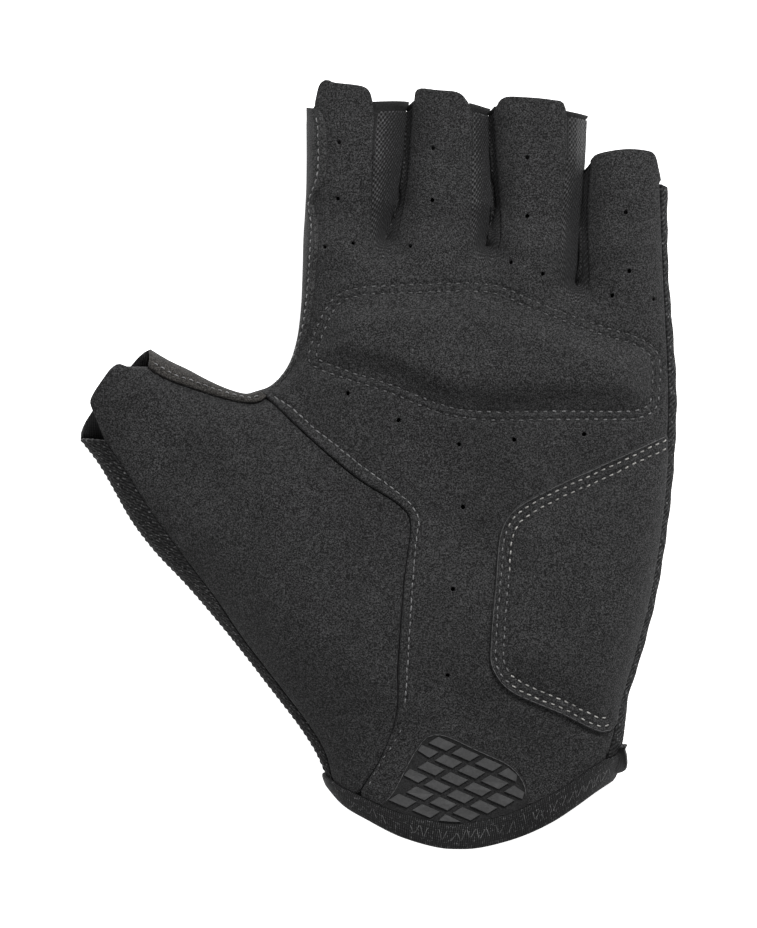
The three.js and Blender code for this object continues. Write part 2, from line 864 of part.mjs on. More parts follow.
const valleyLines = valleys.map((valley) => {
  const leather = valley.rows.map(planPoint);
  const slit = valley.rows.map(slitEdge);
  const count = Math.round(lineLength(leather) / facet);
  return { name: valley.name, leather: smooth(leather, count), slit: smooth(slit, count) };
});
const cuffSeamLine = smoothRows(cuffSeam);
const littleSeamLine = smoothRows(littleSeam, sideLines.little.length - 1);
const indexSeamLine = smoothRows(indexSeam, sideLines.index.length - 1);
const heelEdgeLine = smoothRows(heelEdge);
const thumbTopSeamLine = smoothRows(thumbTopSeam, sideLines.thumbTop.length - 1);
const thumbSideSeamLine = smoothRows(thumbSideSeam, sideLines.thumb.length - 1);

// The back's fabric turns up over both sides of the hand, and stops short of the cuff.
const wraps = {
  little: {
    edges: stretchEnds(sideLines.little, 0, -underGap),
    seams: stretchEnds(littleSeamLine, 0, -underGap),
  },
  thumb: {
    edges: stretchEnds(sideLines.thumb, 0, -underGap),
    seams: stretchEnds(thumbSideSeamLine, 0, -underGap),
  },
};

function reversed(line) {
  return [...line].reverse();
}

function corners(rows) {
  return subdivide(rows.map(planPoint));
}

// Panels.

function palmOutline() {
  const [indexMiddle, middleRing, ringLittle] = valleyLines;
  const cuffStart = thumbSeamLine[thumbSeamLine.length - 1].x;
  const cuffEnd = littleSeamLine[littleSeamLine.length - 1].x;
  return [
    ...reversed(littleSeamLine),
    ...corners(fingerFronts.little),
    ...reversed(ringLittle.leather),
    ...corners(fingerFronts.ring),
    ...reversed(middleRing.leather),
    ...corners(fingerFronts.middle),
    ...reversed(indexMiddle.leather),
    ...corners(fingerFronts.index),
    ...indexSeamLine.slice(0, -1),
    ...thumbSeamLine,
    ...betweenX(cuffSeamLine, cuffStart, cuffEnd),
  ];
}

function palmPanel() {
  const { sheet, faces } = panelSheet(shrink(palmOutline(), seamGap), 'palm');
  const depth = (node) => {
    const fromSeam = lineDistance(node.point.x, node.point.y, thumbSeamLine);
    return { outer: palmLap * (1 - ease(fromSeam / palmLapWidth)), inner: -leatherWall };
  };
  return solidFromSheet(sheet, faces, depth);
}

function thumbPanel() {
  const cuffStart = thumbSideSeamLine[thumbSideSeamLine.length - 1].x;
  const cuffEnd = thumbSeamLine[thumbSeamLine.length - 1].x;
  const outline = [
    ...thumbTopSeamLine.slice(1),
    ...corners(thumbFront),
    ...thumbSideSeamLine,
    ...betweenX(cuffSeamLine, cuffStart, cuffEnd),
    ...reversed(thumbSeamLine),
  ];
  const { sheet, faces } = panelSheet(shrink(outline, seamGap), 'palm');
  return solidFromSheet(sheet, faces, evenWall(leatherWall));
}

function sideStrip(edgeLine, seamLine, atStart, atEnd) {
  const edges = stretchEnds(edgeLine, -atStart, -atEnd);
  const seams = stretchEnds(seamLine, -atStart, -atEnd);
  const { sheet, faces } = bandSheet(edges, seams, true);
  return solidFromSheet(sheet, faces, evenWall(stripWall));
}

function fourchette(valley) {
  const { sheet, faces } = bandSheet(valley.slit, valley.leather, false);
  return solidFromSheet(sheet, faces, evenWall(meshWall));
}

// The back's front edge on one finger, between the ends of the finger's two sides.
function backFront(from, along, to) {
  const middle = new THREE.Vector2((from.x + to.x) / 2, planY(along));
  return subdivide([from, middle, to]).slice(1, -1);
}

function backOutline() {
  const clear = backInset + underGap;
  const underValley = (valley) => underSeam(valley.slit, valley.leather, clear);
  const [indexMiddle, middleRing, ringLittle] = valleyLines.map(underValley);
  const littleUnder = underSeam(wraps.little.edges, wraps.little.seams, backInset);
  const thumbUnder = underSeam(wraps.thumb.edges, wraps.thumb.seams, backInset);
  const cuffClear = cuffSeamLine.map((point) => new THREE.Vector2(point.x, point.y + underGap));
  const indexUnder = underSeam(sideLines.index, indexSeamLine, clear);
  const cuffStart = thumbUnder[thumbUnder.length - 1].x;
  const cuffEnd = littleUnder[littleUnder.length - 1].x;
  return [
    ...reversed(littleUnder),
    ...backFront(littleUnder[0], backFronts.little, ringLittle[ringLittle.length - 1]),
    ...reversed(ringLittle),
    ...backFront(ringLittle[0], backFronts.ring, middleRing[middleRing.length - 1]),
    ...reversed(middleRing),
    ...backFront(middleRing[0], backFronts.middle, indexMiddle[indexMiddle.length - 1]),
    ...reversed(indexMiddle),
    ...backFront(indexMiddle[0], backFronts.index, indexUnder[0]),
    ...indexUnder.slice(0, -1),
    ...underSeam(sideLines.thumbTop, thumbTopSeamLine, clear),
    ...corners(thumbBackFront),
    ...thumbUnder,
    ...betweenX(cuffClear, cuffStart, cuffEnd),
  ];
}

function backPanel() {
  const base = panelSheet(backOutline(), 'back', coarseFacet);
  const littleWrap = bandSheet(wraps.little.edges, wraps.little.seams, false);
  const thumbWrap = bandSheet(wraps.thumb.edges, wraps.thumb.seams, true);
  const { sheet, faces } = joinSheets([base, littleWrap, thumbWrap]);
  return solidFromSheet(sheet, faces, evenWall(meshWall));
}

// The gel cushion under the palm's leather, inside the knuckle stitching.
function knucklePad() {
  const { sheet, faces } = panelSheet(shrink(anticlockwise(knuckleOutline), knucklePadMargin), 'palm');
  const top = -leatherWall - seamGap;
  const depth = (node) => {
    const swell = knuckleSwellAt(node.point.x, node.point.y);
    return { outer: top, inner: top - knucklePadBase - swell };
  };
  return solidFromSheet(sheet, faces, depth);
}

// The padded leather sewn onto the little finger side of the heel.
function heelPad() {
  const start = heelEdgeLine[heelEdgeLine.length - 1].y;
  const end = heelEdgeLine[0].y;
  const side = littleSeamLine.filter((point) => point.y > start + seamGap && point.y < end - seamGap);
  const outline = shrink(anticlockwise([...heelEdgeLine, ...reversed(side)]), padGap);
  const ring = [...outline, outline[0]];
  const { sheet, faces } = panelSheet(outline, 'palm');
  const depth = (node) => {
    const rise = heelSwell * ease(lineDistance(node.point.x, node.point.y, ring) / swellEdge);
    return { outer: seamGap + heelPadWall + rise, inner: seamGap };
  };
  return solidFromSheet(sheet, faces, depth);
}

function treadBlock(middle) {
  const across = new THREE.Vector2(Math.cos(treadTilt), Math.sin(treadTilt));
  const along = new THREE.Vector2(-across.y, across.x);
  const lean = treadLean / 2;
  const shape = [
    [-treadLength / 2 - lean, -treadWidth / 2],
    [treadLength / 2 - lean, -treadWidth / 2],
    [treadLength / 2 + lean, treadWidth / 2],
    [-treadLength / 2 + lean, treadWidth / 2],
  ];
  return shape.map(([a, b]) => middle.clone().addScaledVector(across, a).addScaledVector(along, b));
}

// Rows of leaning blocks, every second row moved on by half a block.
function treadBlocks(outline) {
  const across = new THREE.Vector2(Math.cos(treadTilt), Math.sin(treadTilt));
  const along = new THREE.Vector2(-across.y, across.x);
  const box = new THREE.Box2().setFromPoints(outline);
  const middle = box.getCenter(new THREE.Vector2());
  const reach = box.getSize(new THREE.Vector2()).length() / 2;
  const rows = Math.ceil(reach / treadPitchAlong);
  const columns = Math.ceil(reach / treadPitchAcross);
  const blocks = [];
  for (let row = -rows; row <= rows; row += 1) {
    for (let column = -columns; column <= columns; column += 1) {
      const place = middle.clone();
      place.addScaledVector(across, (column + (row % 2 === 0 ? 0 : 0.5)) * treadPitchAcross);
      place.addScaledVector(along, row * treadPitchAlong);
      const block = treadBlock(place);
      if (block.every((corner) => isInside(corner, outline))) {
        blocks.push(block);
      }
    }
  }
  return blocks;
}

function toManifold(geometry) {
  const bare = geometry.clone();
  bare.deleteAttribute('normal');
  const mesh = { numProp: 3, vertProperties: bare.attributes.position.array };
  return new wasm.Manifold(new wasm.Mesh({ ...mesh, triVerts: Uint32Array.from(bare.index.array) }));
}

function fromManifold(solid) {
  const { vertProperties, triVerts } = solid.getMesh();
  const geometry = new THREE.BufferGeometry();
  geometry.setAttribute('position', new THREE.BufferAttribute(vertProperties, 3));
  geometry.setIndex(new THREE.BufferAttribute(triVerts, 1));
  geometry.computeVertexNormals();
  return geometry;
}

function treadPatch() {
  const ends = patchTop.map(planPoint);
  const bottom = betweenX(cuffSeamLine, ends[0].x, ends[ends.length - 1].x);
  const outline = anticlockwise([...smooth(ends), ...reversed(bottom)]);
  const base = panelSheet(shrink(outline, padGap), 'palm');
  const baseTop = seamGap + patchWall;
  const baseDepth = () => ({ outer: baseTop, inner: seamGap });
  let solid = toManifold(solidFromSheet(base.sheet, base.faces, baseDepth));
  const margin = shrink(outline, treadBorder);
  for (const block of treadBlocks(margin)) {
    const { sheet, faces } = panelSheet(block, 'palm');
    const depth = () => ({ outer: baseTop + treadHeight, inner: baseTop - patchWall / 2 });
    solid = solid.add(toManifold(solidFromSheet(sheet, faces, depth)));
  }
  return fromManifold(solid);
}

// One ring of the cuff: over the palm's side from the thumb to the little finger, and back under.
function cuffRing(line, lift) {
  const last = line.length - 1;
  const endNode = (point, way) => {
    const place = new THREE.Vector3(point.x, point.y, widestAt(point.x, point.y));
    return { point: place, normal: new THREE.Vector3(way, 0, 0) };
  };
  const inner = line.slice(1, -1);
  const over = inner.map((point) => {
    const node = skinAt(point.x, point.y, 'palm');
    node.point.addScaledVector(node.normal, lift);
    return node;
  });
  const under = reversed(inner).map((point) => skinAt(point.x, point.y, 'back'));
  return [endNode(line[0], -1), ...over, endNode(line[last], 1), ...under];
}

function cuffBinding() {
  const count = cuffSeamLine.length + 3;
  const seam = smoothRows(cuffSeam, count);
  const lip = smoothRows(cuffLip, count);
  const bands = 2;
  const rings = [];
  for (let i = 0; i <= bands; i += 1) {
    const line = seam.map((point, j) => point.clone().lerp(lip[j], i / bands));
    const ring = cuffRing(line, cuffLift);
    rings.push([...ring, ring[0]]);
  }
  const { sheet, faces } = joinSheets([gridSheet(rings, false)]);
  return solidFromSheet(sheet, faces, evenWall(cuffWall));
}

// The folded end of the wrist fastening, a loop that stands out beside the cuff.
function cuffTab() {
  const seamEnd = planPoint(cuffSeam[cuffSeam.length - 1]);
  const lipEnd = planPoint(cuffLip[cuffLip.length - 1]);
  const way = lipEnd.clone().sub(seamEnd);
  const length = way.length();
  way.normalize();
  const out = new THREE.Vector2(-way.y, way.x);
  const foot = seamEnd.clone().addScaledVector(out, seamGap);
  const place = (along, off) => {
    return foot.clone().addScaledVector(way, along).addScaledVector(out, off);
  };
  const shape = new THREE.Shape(tabShape.map((row) => place(row.along * length, row.out * tabReach)));
  const geometry = new THREE.ExtrudeGeometry(shape, { depth: tabHeight, bevelEnabled: false });
  geometry.translate(0, 0, widestAt(seamEnd.x, seamEnd.y) - tabHeight / 2);
  return geometry;
}

const group = new THREE.Group();

function addPart(name, geometry, material) {
  const mesh = new THREE.Mesh(geometry, material);
  mesh.name = name;
  group.add(mesh);
}

addPart('palm_panel', palmPanel(), suede);
addPart('thumb_panel', thumbPanel(), thumbSuede);
addPart('index_side_strip', sideStrip(sideLines.index, indexSeamLine, 0, seamGap), hemTape);
addPart('thumb_edge_strip', sideStrip(sideLines.thumbTop, thumbTopSeamLine, seamGap, 0), hemTape);
for (const valley of valleyLines) {
  addPart(`fourchette_${valley.name}`, fourchette(valley), knit);
}
addPart('back_panel', backPanel(), knit);
addPart('knuckle_pad', knucklePad(), gel);
addPart('heel_pad', heelPad(), suede);
addPart('tread_patch', treadPatch(), gripRubber);
addPart('cuff_binding', cuffBinding(), elastic);
addPart('cuff_tab', cuffTab(), elastic);

export default group;
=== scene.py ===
# Looks of the fingerless cycling glove, built around its CAD pieces.
# The tables and sizes are millimetres and shares, and metres() turns them into metres.

import math

import bpy
import numpy as np
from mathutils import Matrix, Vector
from mathutils.geometry import delaunay_2d_cdt


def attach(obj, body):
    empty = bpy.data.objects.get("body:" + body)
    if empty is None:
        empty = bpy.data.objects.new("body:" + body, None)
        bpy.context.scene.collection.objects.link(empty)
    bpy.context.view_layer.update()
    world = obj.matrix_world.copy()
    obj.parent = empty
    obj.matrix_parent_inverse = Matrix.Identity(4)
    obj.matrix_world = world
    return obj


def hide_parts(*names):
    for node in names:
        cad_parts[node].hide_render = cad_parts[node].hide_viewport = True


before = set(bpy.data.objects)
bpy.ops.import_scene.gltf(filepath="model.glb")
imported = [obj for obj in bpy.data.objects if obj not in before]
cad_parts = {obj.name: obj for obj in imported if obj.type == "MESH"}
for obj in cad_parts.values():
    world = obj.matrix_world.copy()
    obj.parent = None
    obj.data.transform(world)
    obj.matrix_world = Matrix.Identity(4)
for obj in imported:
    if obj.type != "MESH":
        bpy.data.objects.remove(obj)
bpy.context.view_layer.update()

# Plan sizes and heights, as in the CAD.
PALM_BREADTH = 95.5
THUMB_REACH = 58.5
HAND_LENGTH = 154.0
FINGER_LENGTH = 43.5
REST_ACROSS = 0.2
REST_ALONG = 0.6415
PALM_HEIGHT = 27.0
THUMB_HEIGHT = 20.0
THUMB_RIM = 15.0
BACK_RIM = 7.0
WIDEST = 0.42
BACK_INSET = 3.6
LEATHER = 1.1
MESH_WALL = 0.7
SLIT_HALF = 0.1
SWELL_EDGE = 7.5
KNUCKLE_MARGIN = 2.5
KNUCKLE_SWELL = 3.3
WALL_EXTENSION = 18.0

# Steps of the visual meshes.
LEATHER_STEP = 0.85
BACK_STEP = 1.6
BAND_STEP = 0.45
FURROW_STEP = 0.7
FIELD_STEP = 2.0
CURVE_STEPS = 16
DISTANCE_BATCH = 4000
HOLE_SIDES = 14
HOLE_RING = 1.6

# Seams. Each row is (across, along): across is 0 at the index side, 1 at the little finger
# side and -1 at the tip of the thumb; along is 0 at the wrist's lip, 1 at the finger roots
# and 2 at the finger ends.
LITTLE_SIDE = [
    (0.977, 1.375), (0.978, 0.966), (0.989, 0.874), (1.0, 0.76), (0.994, 0.65), (0.978, 0.548),
    (0.946, 0.422), (0.905, 0.322), (0.868, 0.246), (0.86, 0.193), (0.847, 0.157),
]
LITTLE_SEAM = [
    (0.956, 1.39), (0.962, 1.0), (0.97, 0.883), (0.978, 0.765), (0.973, 0.665), (0.957, 0.548),
    (0.924, 0.422), (0.884, 0.327), (0.846, 0.246), (0.83, 0.19), (0.817, 0.16),
]
INDEX_SIDE = [
    (0.001, 1.85), (0.002, 1.54), (0.0, 1.3), (-0.01, 1.09), (-0.014, 0.966), (-0.022, 0.9),
    (-0.04, 0.846), (-0.07, 0.809), (-0.118, 0.782), (-0.168, 0.768), (-0.221, 0.763),
]
INDEX_SEAM = [
    (0.036, 1.83), (0.052, 1.76), (0.057, 1.62), (0.053, 1.43), (0.022, 1.28), (0.034, 1.15),
    (0.03, 0.98), (0.019, 0.916), (0.008, 0.873), (-0.018, 0.838), (-0.057, 0.804),
    (-0.115, 0.775), (-0.172, 0.754),
]
THUMB_TOP = [
    (-0.221, 0.763), (-0.265, 0.759), (-0.332, 0.765), (-0.434, 0.782), (-0.518, 0.799),
    (-0.611, 0.816), (-0.69, 0.834),
]
THUMB_TOP_SEAM = [
    (-0.172, 0.754), (-0.221, 0.745), (-0.292, 0.747), (-0.38, 0.755), (-0.513, 0.771),
    (-0.624, 0.787), (-0.692, 0.803),
]
THUMB_SIDE = [
    (-0.996, 0.682), (-0.916, 0.642), (-0.841, 0.593), (-0.774, 0.548), (-0.673, 0.497),
    (-0.522, 0.436), (-0.332, 0.351), (-0.168, 0.271), (-0.018, 0.196), (0.032, 0.152),
    (0.051, 0.124),
]
THUMB_SIDE_SEAM = [
    (-0.885, 0.68), (-0.814, 0.642), (-0.686, 0.564), (-0.527, 0.481), (-0.398, 0.417),
    (-0.292, 0.357), (-0.137, 0.28), (0.008, 0.204), (0.051, 0.159), (0.068, 0.118),
]
THUMB_SEAM = [
    (-0.172, 0.754), (0.016, 0.683), (0.141, 0.618), (0.255, 0.572), (0.28, 0.551),
    (0.265, 0.447), (0.249, 0.307), (0.245, 0.226), (0.2, 0.149), (0.141, 0.092),
]
CUFF_SEAM = [
    (0.051, 0.124), (0.086, 0.105), (0.143, 0.087), (0.243, 0.062), (0.362, 0.044),
    (0.422, 0.042), (0.5, 0.05), (0.581, 0.067), (0.686, 0.099), (0.789, 0.141), (0.847, 0.157),
]
CUFF_LIP = [
    (0.066, 0.099), (0.108, 0.07), (0.176, 0.045), (0.257, 0.02), (0.359, 0.002), (0.408, 0.0),
    (0.465, 0.002), (0.576, 0.02), (0.662, 0.045), (0.724, 0.07), (0.781, 0.095), (0.826, 0.112),
]

# Valleys between the fingers: (leather across, leather along, slit across, slit along, turn),
# from the left finger's front round the root to the right finger's front.
VALLEYS = {
    "index_middle": [
        (0.185, 1.815, 0.272, 1.825, -1), (0.18, 1.536, 0.264, 1.56, -1),
        (0.178, 1.268, 0.248, 1.27, -1), (0.184, 1.06, 0.2236, 1.122, -1),
        (0.208, 0.985, 0.2174, 1.072, 0), (0.234, 1.024, 0.2236, 1.122, 1),
        (0.254, 1.18, 0.235, 1.222, 1), (0.27, 1.387, 0.257, 1.387, 1),
        (0.278, 1.595, 0.266, 1.595, 1), (0.285, 1.845, 0.272, 1.825, 1),
    ],
    "middle_ring": [
        (0.449, 1.821, 0.494, 1.8, -1), (0.451, 1.536, 0.497, 1.58, -1),
        (0.449, 1.238, 0.51, 1.26, -1), (0.454, 1.018, 0.4886, 1.07, -1),
        (0.484, 0.974, 0.4882, 1.024, 0), (0.517, 1, 0.4926, 1.07, 1),
        (0.524, 1.167, 0.497, 1.196, 1), (0.516, 1.417, 0.504, 1.417, 1),
        (0.509, 1.625, 0.4975, 1.625, 1), (0.505, 1.821, 0.494, 1.8, 1),
    ],
    "ring_little": [
        (0.705, 1.792, 0.758, 1.774, -1), (0.704, 1.536, 0.753, 1.54, -1),
        (0.695, 1.238, 0.742, 1.25, -1), (0.69, 0.98, 0.736, 1.02, -1),
        (0.697, 0.933, 0.734, 0.97, -1), (0.727, 0.911, 0.731, 0.945, 0),
        (0.757, 0.936, 0.738, 0.97, 1), (0.759, 1, 0.74, 1.02, 1),
        (0.757, 1.208, 0.741, 1.22, 1), (0.765, 1.5, 0.75, 1.46, 1),
    ],
}
FINGER_FRONTS = {
    "little": [(0.962, 1.415), (0.954, 1.488), (0.947, 1.548), (0.937, 1.577), (0.914, 1.589),
               (0.868, 1.595), (0.814, 1.583), (0.777, 1.562), (0.765, 1.53)],
    "ring": [(0.703, 1.83), (0.694, 1.872), (0.667, 1.885), (0.59, 1.902), (0.535, 1.904),
             (0.52, 1.885), (0.51, 1.84)],
    "middle": [(0.44, 1.87), (0.428, 1.905), (0.41, 1.93), (0.35, 1.945), (0.304, 1.957),
               (0.294, 1.945), (0.289, 1.88)],
    "index": [(0.181, 1.87), (0.173, 1.93), (0.16, 1.96), (0.07, 1.991), (0.052, 2.006),
              (0.036, 1.985), (0.024, 1.9), (0.02, 1.85)],
}
BACK_FRONTS = {"little": 1.56, "ring": 1.85, "middle": 1.88, "index": 1.9}
THUMB_FRONT = [
    (-0.786, 0.806), (-0.822, 0.81), (-0.854, 0.802), (-0.887, 0.786), (-0.943, 0.753),
    (-0.95, 0.743), (-0.942, 0.733), (-0.921, 0.714), (-0.902, 0.695),
]
THUMB_BACK_FRONT = [
    (-0.692, 0.834), (-0.714, 0.831), (-0.748, 0.821), (-0.79, 0.803), (-0.86, 0.78),
    (-0.93, 0.742), (-0.962, 0.725), (-0.984, 0.711), (-0.997, 0.698), (-1.0, 0.69), (-0.997, 0.683),
]
KNUCKLE_LINE = [
    (0.006, 0.812), (0.026, 0.866), (0.073, 0.918), (0.13, 0.933), (0.3, 0.94), (0.5, 0.94),
    (0.605, 0.915), (0.811, 0.868), (0.913, 0.847), (0.95, 0.826), (0.955, 0.779), (0.945, 0.735),
    (0.91, 0.72), (0.673, 0.716), (0.45, 0.716), (0.357, 0.727), (0.224, 0.76), (0.051, 0.796),
]
HEEL_EDGE = [
    (0.965, 0.692), (0.795, 0.642), (0.57, 0.572), (0.528, 0.54), (0.508, 0.45), (0.495, 0.357),
    (0.497, 0.305), (0.54, 0.268), (0.673, 0.229), (0.797, 0.194), (0.823, 0.2),
]
PATCH_TOP = [
    (0.203, 0.075), (0.232, 0.095), (0.265, 0.134), (0.294, 0.166), (0.325, 0.19), (0.36, 0.194),
    (0.462, 0.168), (0.554, 0.139), (0.59, 0.11), (0.597, 0.08),
]
# Where the thumb seam's stitches run, and where they thin out below the fold.
THUMB_STITCHES = [
    (-0.144, 0.755), (-0.062, 0.735), (0.019, 0.703), (0.141, 0.643), (0.3, 0.558),
    (0.295, 0.508), (0.284, 0.417), (0.277, 0.348), (0.267, 0.241),
]
THIN_STITCHES = [(0.26, 0.204), (0.235, 0.175), (0.195, 0.138), (0.168, 0.102)]

# Air holes: (across, along).
AIR_HOLES = [
    (0.089, 1.631), (0.086, 1.298), (0.05, 1.012), (0.129, 1.036), (0.342, 1.597), (0.34, 1.289),
    (0.28, 1.018), (0.596, 1.542), (0.596, 1.196), (0.55, 0.978), (0.638, 0.958), (0.861, 1.217),
    (0.87, 0.963), (0.822, 0.922), (0.938, 0.916), (0.113, 0.759), (0.25, 0.714), (0.411, 0.674),
    (0.559, 0.682), (0.746, 0.691), (0.422, 0.57), (0.395, 0.434), (0.381, 0.29),
]
AIR_HOLE_RADIUS = 0.56

# Sections of the skin: (along, height, rim).
SECTIONS = np.array([
    (0.0, 21.0, 17.0), (0.35, 27.0, 25.0), (0.75, 27.0, 25.0), (0.97, 24.0, 17.0),
    (1.2, 19.0, 9.5), (2.0, 17.0, 9.5),
])
# Broad swells and hollows: (across, along, reach of the breadth, rise of the height).
MOULDS = [
    (0.34, 0.56, 0.2, -0.09), (-0.02, 0.42, 0.26, 0.1), (0.3, 0.2, 0.14, -0.06),
    (0.74, 0.42, 0.2, 0.05), (-0.06, 0.72, 0.1, -0.1),
]
# Soft folds in the leather: (from across, from along, to across, to along, width, depth).
FOLDS = [
    (0.02, 0.9, 0.1, 1.02, 3.2, 0.45), (-0.1, 0.74, 0.06, 0.84, 2.8, 0.4),
    (-0.3, 0.7, -0.16, 0.62, 4.0, 0.35), (-0.72, 0.74, -0.6, 0.6, 4.5, 0.4),
    (0.03, 1.28, 0.1, 1.2, 2.2, 0.35), (-0.2, 0.34, 0.05, 0.4, 6.0, 0.35),
    (0.62, 0.95, 0.72, 0.86, 3.0, 0.3), (0.5, 0.96, 0.46, 0.86, 3.4, 0.3),
]


def plan(rows):
    """Plan points in millimetres of a table's (across, along) rows."""
    shares = np.asarray(rows, float)
    across, along = shares[:, 0], shares[:, 1]
    x = across * np.where(across < 0, THUMB_REACH, PALM_BREADTH) - REST_ACROSS * PALM_BREADTH
    within, beyond = np.minimum(along, 1), np.maximum(along - 1, 0)
    y = within * HAND_LENGTH + beyond * FINGER_LENGTH - REST_ALONG * HAND_LENGTH
    return np.column_stack([x, y])


def shares_of(points):
    """(across, along) of plan points."""
    from_side = points[:, 0] + REST_ACROSS * PALM_BREADTH
    from_lip = points[:, 1] + REST_ALONG * HAND_LENGTH
    across = from_side / np.where(from_side < 0, THUMB_REACH, PALM_BREADTH)
    beyond = 1 + (from_lip - HAND_LENGTH) / FINGER_LENGTH
    return across, np.where(from_lip <= HAND_LENGTH, from_lip / HAND_LENGTH, beyond)


def ease(share):
    """A soft step from 0 to 1."""
    t = np.clip(share, 0, 1)
    return t * t * (3 - 2 * t)


def bell(value):
    return np.exp(-value ** 2)


def unit(vectors):
    return vectors / np.linalg.norm(vectors, axis=-1, keepdims=True)


def spaced(points, count):
    """The polyline as count equal steps."""
    lengths = np.linalg.norm(np.diff(points, axis=0), axis=1)
    at = np.concatenate([[0], np.cumsum(lengths)])
    want = np.linspace(0, at[-1], count + 1)
    return np.column_stack([np.interp(want, at, column) for column in points.T])


def line_length(points):
    return float(np.linalg.norm(np.diff(points, axis=0), axis=1).sum())


def smooth(points, step=1.0, count=None, closed=False):
    """A centripetal curve through the points, at an even step."""
    points = np.asarray(points, float)
    if closed:
        through = np.vstack([points[-1:], points, points[:2]])
    else:
        through = np.vstack([2 * points[0] - points[1], points, 2 * points[-1] - points[-2]])
    t = np.linspace(0, 1, CURVE_STEPS, endpoint=False)[:, None]
    curve = []
    for a, b, c, d in zip(through, through[1:], through[2:], through[3:]):
        before, here, after = (
            math.sqrt(max(np.linalg.norm(q - p), 1e-6)) for p, q in ((a, b), (b, c), (c, d)))
        leave = here * ((b - a) / before - (c - a) / (before + here) + (c - b) / here)
        arrive = here * ((c - b) / here - (d - b) / (here + after) + (d - c) / after)
        curve.append(
            b + t * leave + t ** 2 * (3 * (c - b) - 2 * leave - arrive)
            + t ** 3 * (2 * (b - c) + leave + arrive))
    curve.append(through[-2][None])
    curve = np.vstack(curve)
    return spaced(curve, count or max(2, round(line_length(curve) / step)))


def stretch_ends(points, at_start, at_end):
    """The line with its ends moved on by a distance, or back where it is negative."""
    moved = points.copy()
    moved[0] += unit(points[0] - points[1]) * at_start
    moved[-1] += unit(points[-1] - points[-2]) * at_end
    return moved


def line_distance(points, line):
    """Distance of each plan point from the line."""
    start, way = line[:-1], np.diff(line, axis=0)
    square = np.maximum((way * way).sum(1), 1e-9)
    nearest = np.empty(len(points))
    for low in range(0, len(points), DISTANCE_BATCH):
        batch = slice(low, low + DISTANCE_BATCH)
        off = points[batch, None] - start
        along = np.clip((off * way).sum(2) / square, 0, 1)
        off -= along[..., None] * way
        nearest[batch] = np.sqrt((off * off).sum(2).min(1))
    return nearest


def is_inside(points, outline):
    x, y = points.T
    inside = np.zeros(len(points), bool)
    for (ax, ay), (bx, by) in zip(outline, np.roll(outline, -1, axis=0)):
        if ay != by:
            inside ^= ((ay > y) != (by > y)) & (x < (bx - ax) * (y - ay) / (by - ay) + ax)
    return inside


def closed(outline):
    return np.vstack([outline, outline[:1]])


def part_between(line, low, high, axis=0):
    """The line's points whose coordinate lies between two values."""
    return line[(line[:, axis] > low) & (line[:, axis] < high)]


def anticlockwise(outline):
    x, y = outline.T
    area = (x * np.roll(y, -1) - np.roll(x, -1) * y).sum()
    return outline if area > 0 else outline[::-1]


def side_step(line, distance, loop=False):
    """The line moved to its left by a distance."""
    if loop:
        way = np.roll(line, -1, axis=0) - np.roll(line, 1, axis=0)
    else:
        way = np.gradient(line, axis=0)
    way /= np.maximum(np.linalg.norm(way, axis=1, keepdims=True), 1e-9)
    return line + distance * np.column_stack([-way[:, 1], way[:, 0]])


# The skin.

def valley_lines(rows, count=None):
    """The leather's edge and the slit's side of a valley, point by point."""
    table = np.array(rows)
    leather = plan(table[:, :2])
    turn = table[:, 4]
    slit = plan(table[:, 2:4]) + np.column_stack([turn * SLIT_HALF, -SLIT_HALF * (turn == 0)])
    count = count or round(line_length(leather) / BAND_STEP)
    return smooth(leather, count=count), smooth(slit, count=count)


def slit_middle(rows):
    table = np.array([row for row in rows if row[4] <= 0])
    return stretch_ends(plan(table[:, 2:4]), WALL_EXTENSION, 0)


index_side = smooth(plan(INDEX_SIDE), FIELD_STEP)
thumb_top = smooth(plan(THUMB_TOP), FIELD_STEP)
little_side = smooth(plan(LITTLE_SIDE), FIELD_STEP)
thumb_side = smooth(plan(THUMB_SIDE), FIELD_STEP)
web_line = np.vstack([index_side, thumb_top[1:]])
WALLS = [
    (stretch_ends(line, WALL_EXTENSION, WALL_EXTENSION), 0.0)
    for line in (little_side, web_line, thumb_side)
]
WALLS += [(slit_middle(rows), SLIT_HALF) for rows in VALLEYS.values()]

knuckle_line = anticlockwise(smooth(plan(KNUCKLE_LINE), 1.0, closed=True)[:-1])
knuckle_ring = closed(knuckle_line)
thumb_seam = smooth(plan(THUMB_SEAM), 1.0)
heel_edge = smooth(plan(HEEL_EDGE), 1.0)
cuff_seam = smooth(plan(CUFF_SEAM), 1.0)

# Slow waves of the leather: wavelength, direction, phase and height.
chance = np.random.default_rng(11)
WAVES = []
for wavelength in (34.0, 27.0, 21.0, 17.0, 13.0, 10.0, 8.0, 6.5):
    for _ in range(2):
        angle, phase = chance.uniform(0, 2 * math.pi, 2)
        WAVES.append((wavelength, math.cos(angle), math.sin(angle), phase, 0.0042 * wavelength))


def inset_at(points):
    """Distance in from the nearest walls, blended so that two walls meet without a ridge."""
    total = np.zeros(len(points))
    for line, half in WALLS:
        total += np.maximum(line_distance(points, line) - half, 0.01) ** -4
    return total ** -0.25


def form_at(points):
    """Height and rim of the skin."""
    across, along = shares_of(points)
    upper = np.clip(np.searchsorted(SECTIONS[:, 0], along, side="right"), 1, len(SECTIONS) - 1)
    a, b = SECTIONS[upper - 1], SECTIONS[upper]
    share = ease((along - a[:, 0]) / (b[:, 0] - a[:, 0]))[:, None]
    height, rim = ((1 - share) * a[:, 1:] + share * b[:, 1:]).T
    thumb = ease((-across - 0.05) / 0.55)
    return height + thumb * (THUMB_HEIGHT - height), rim + thumb * (THUMB_RIM - rim)


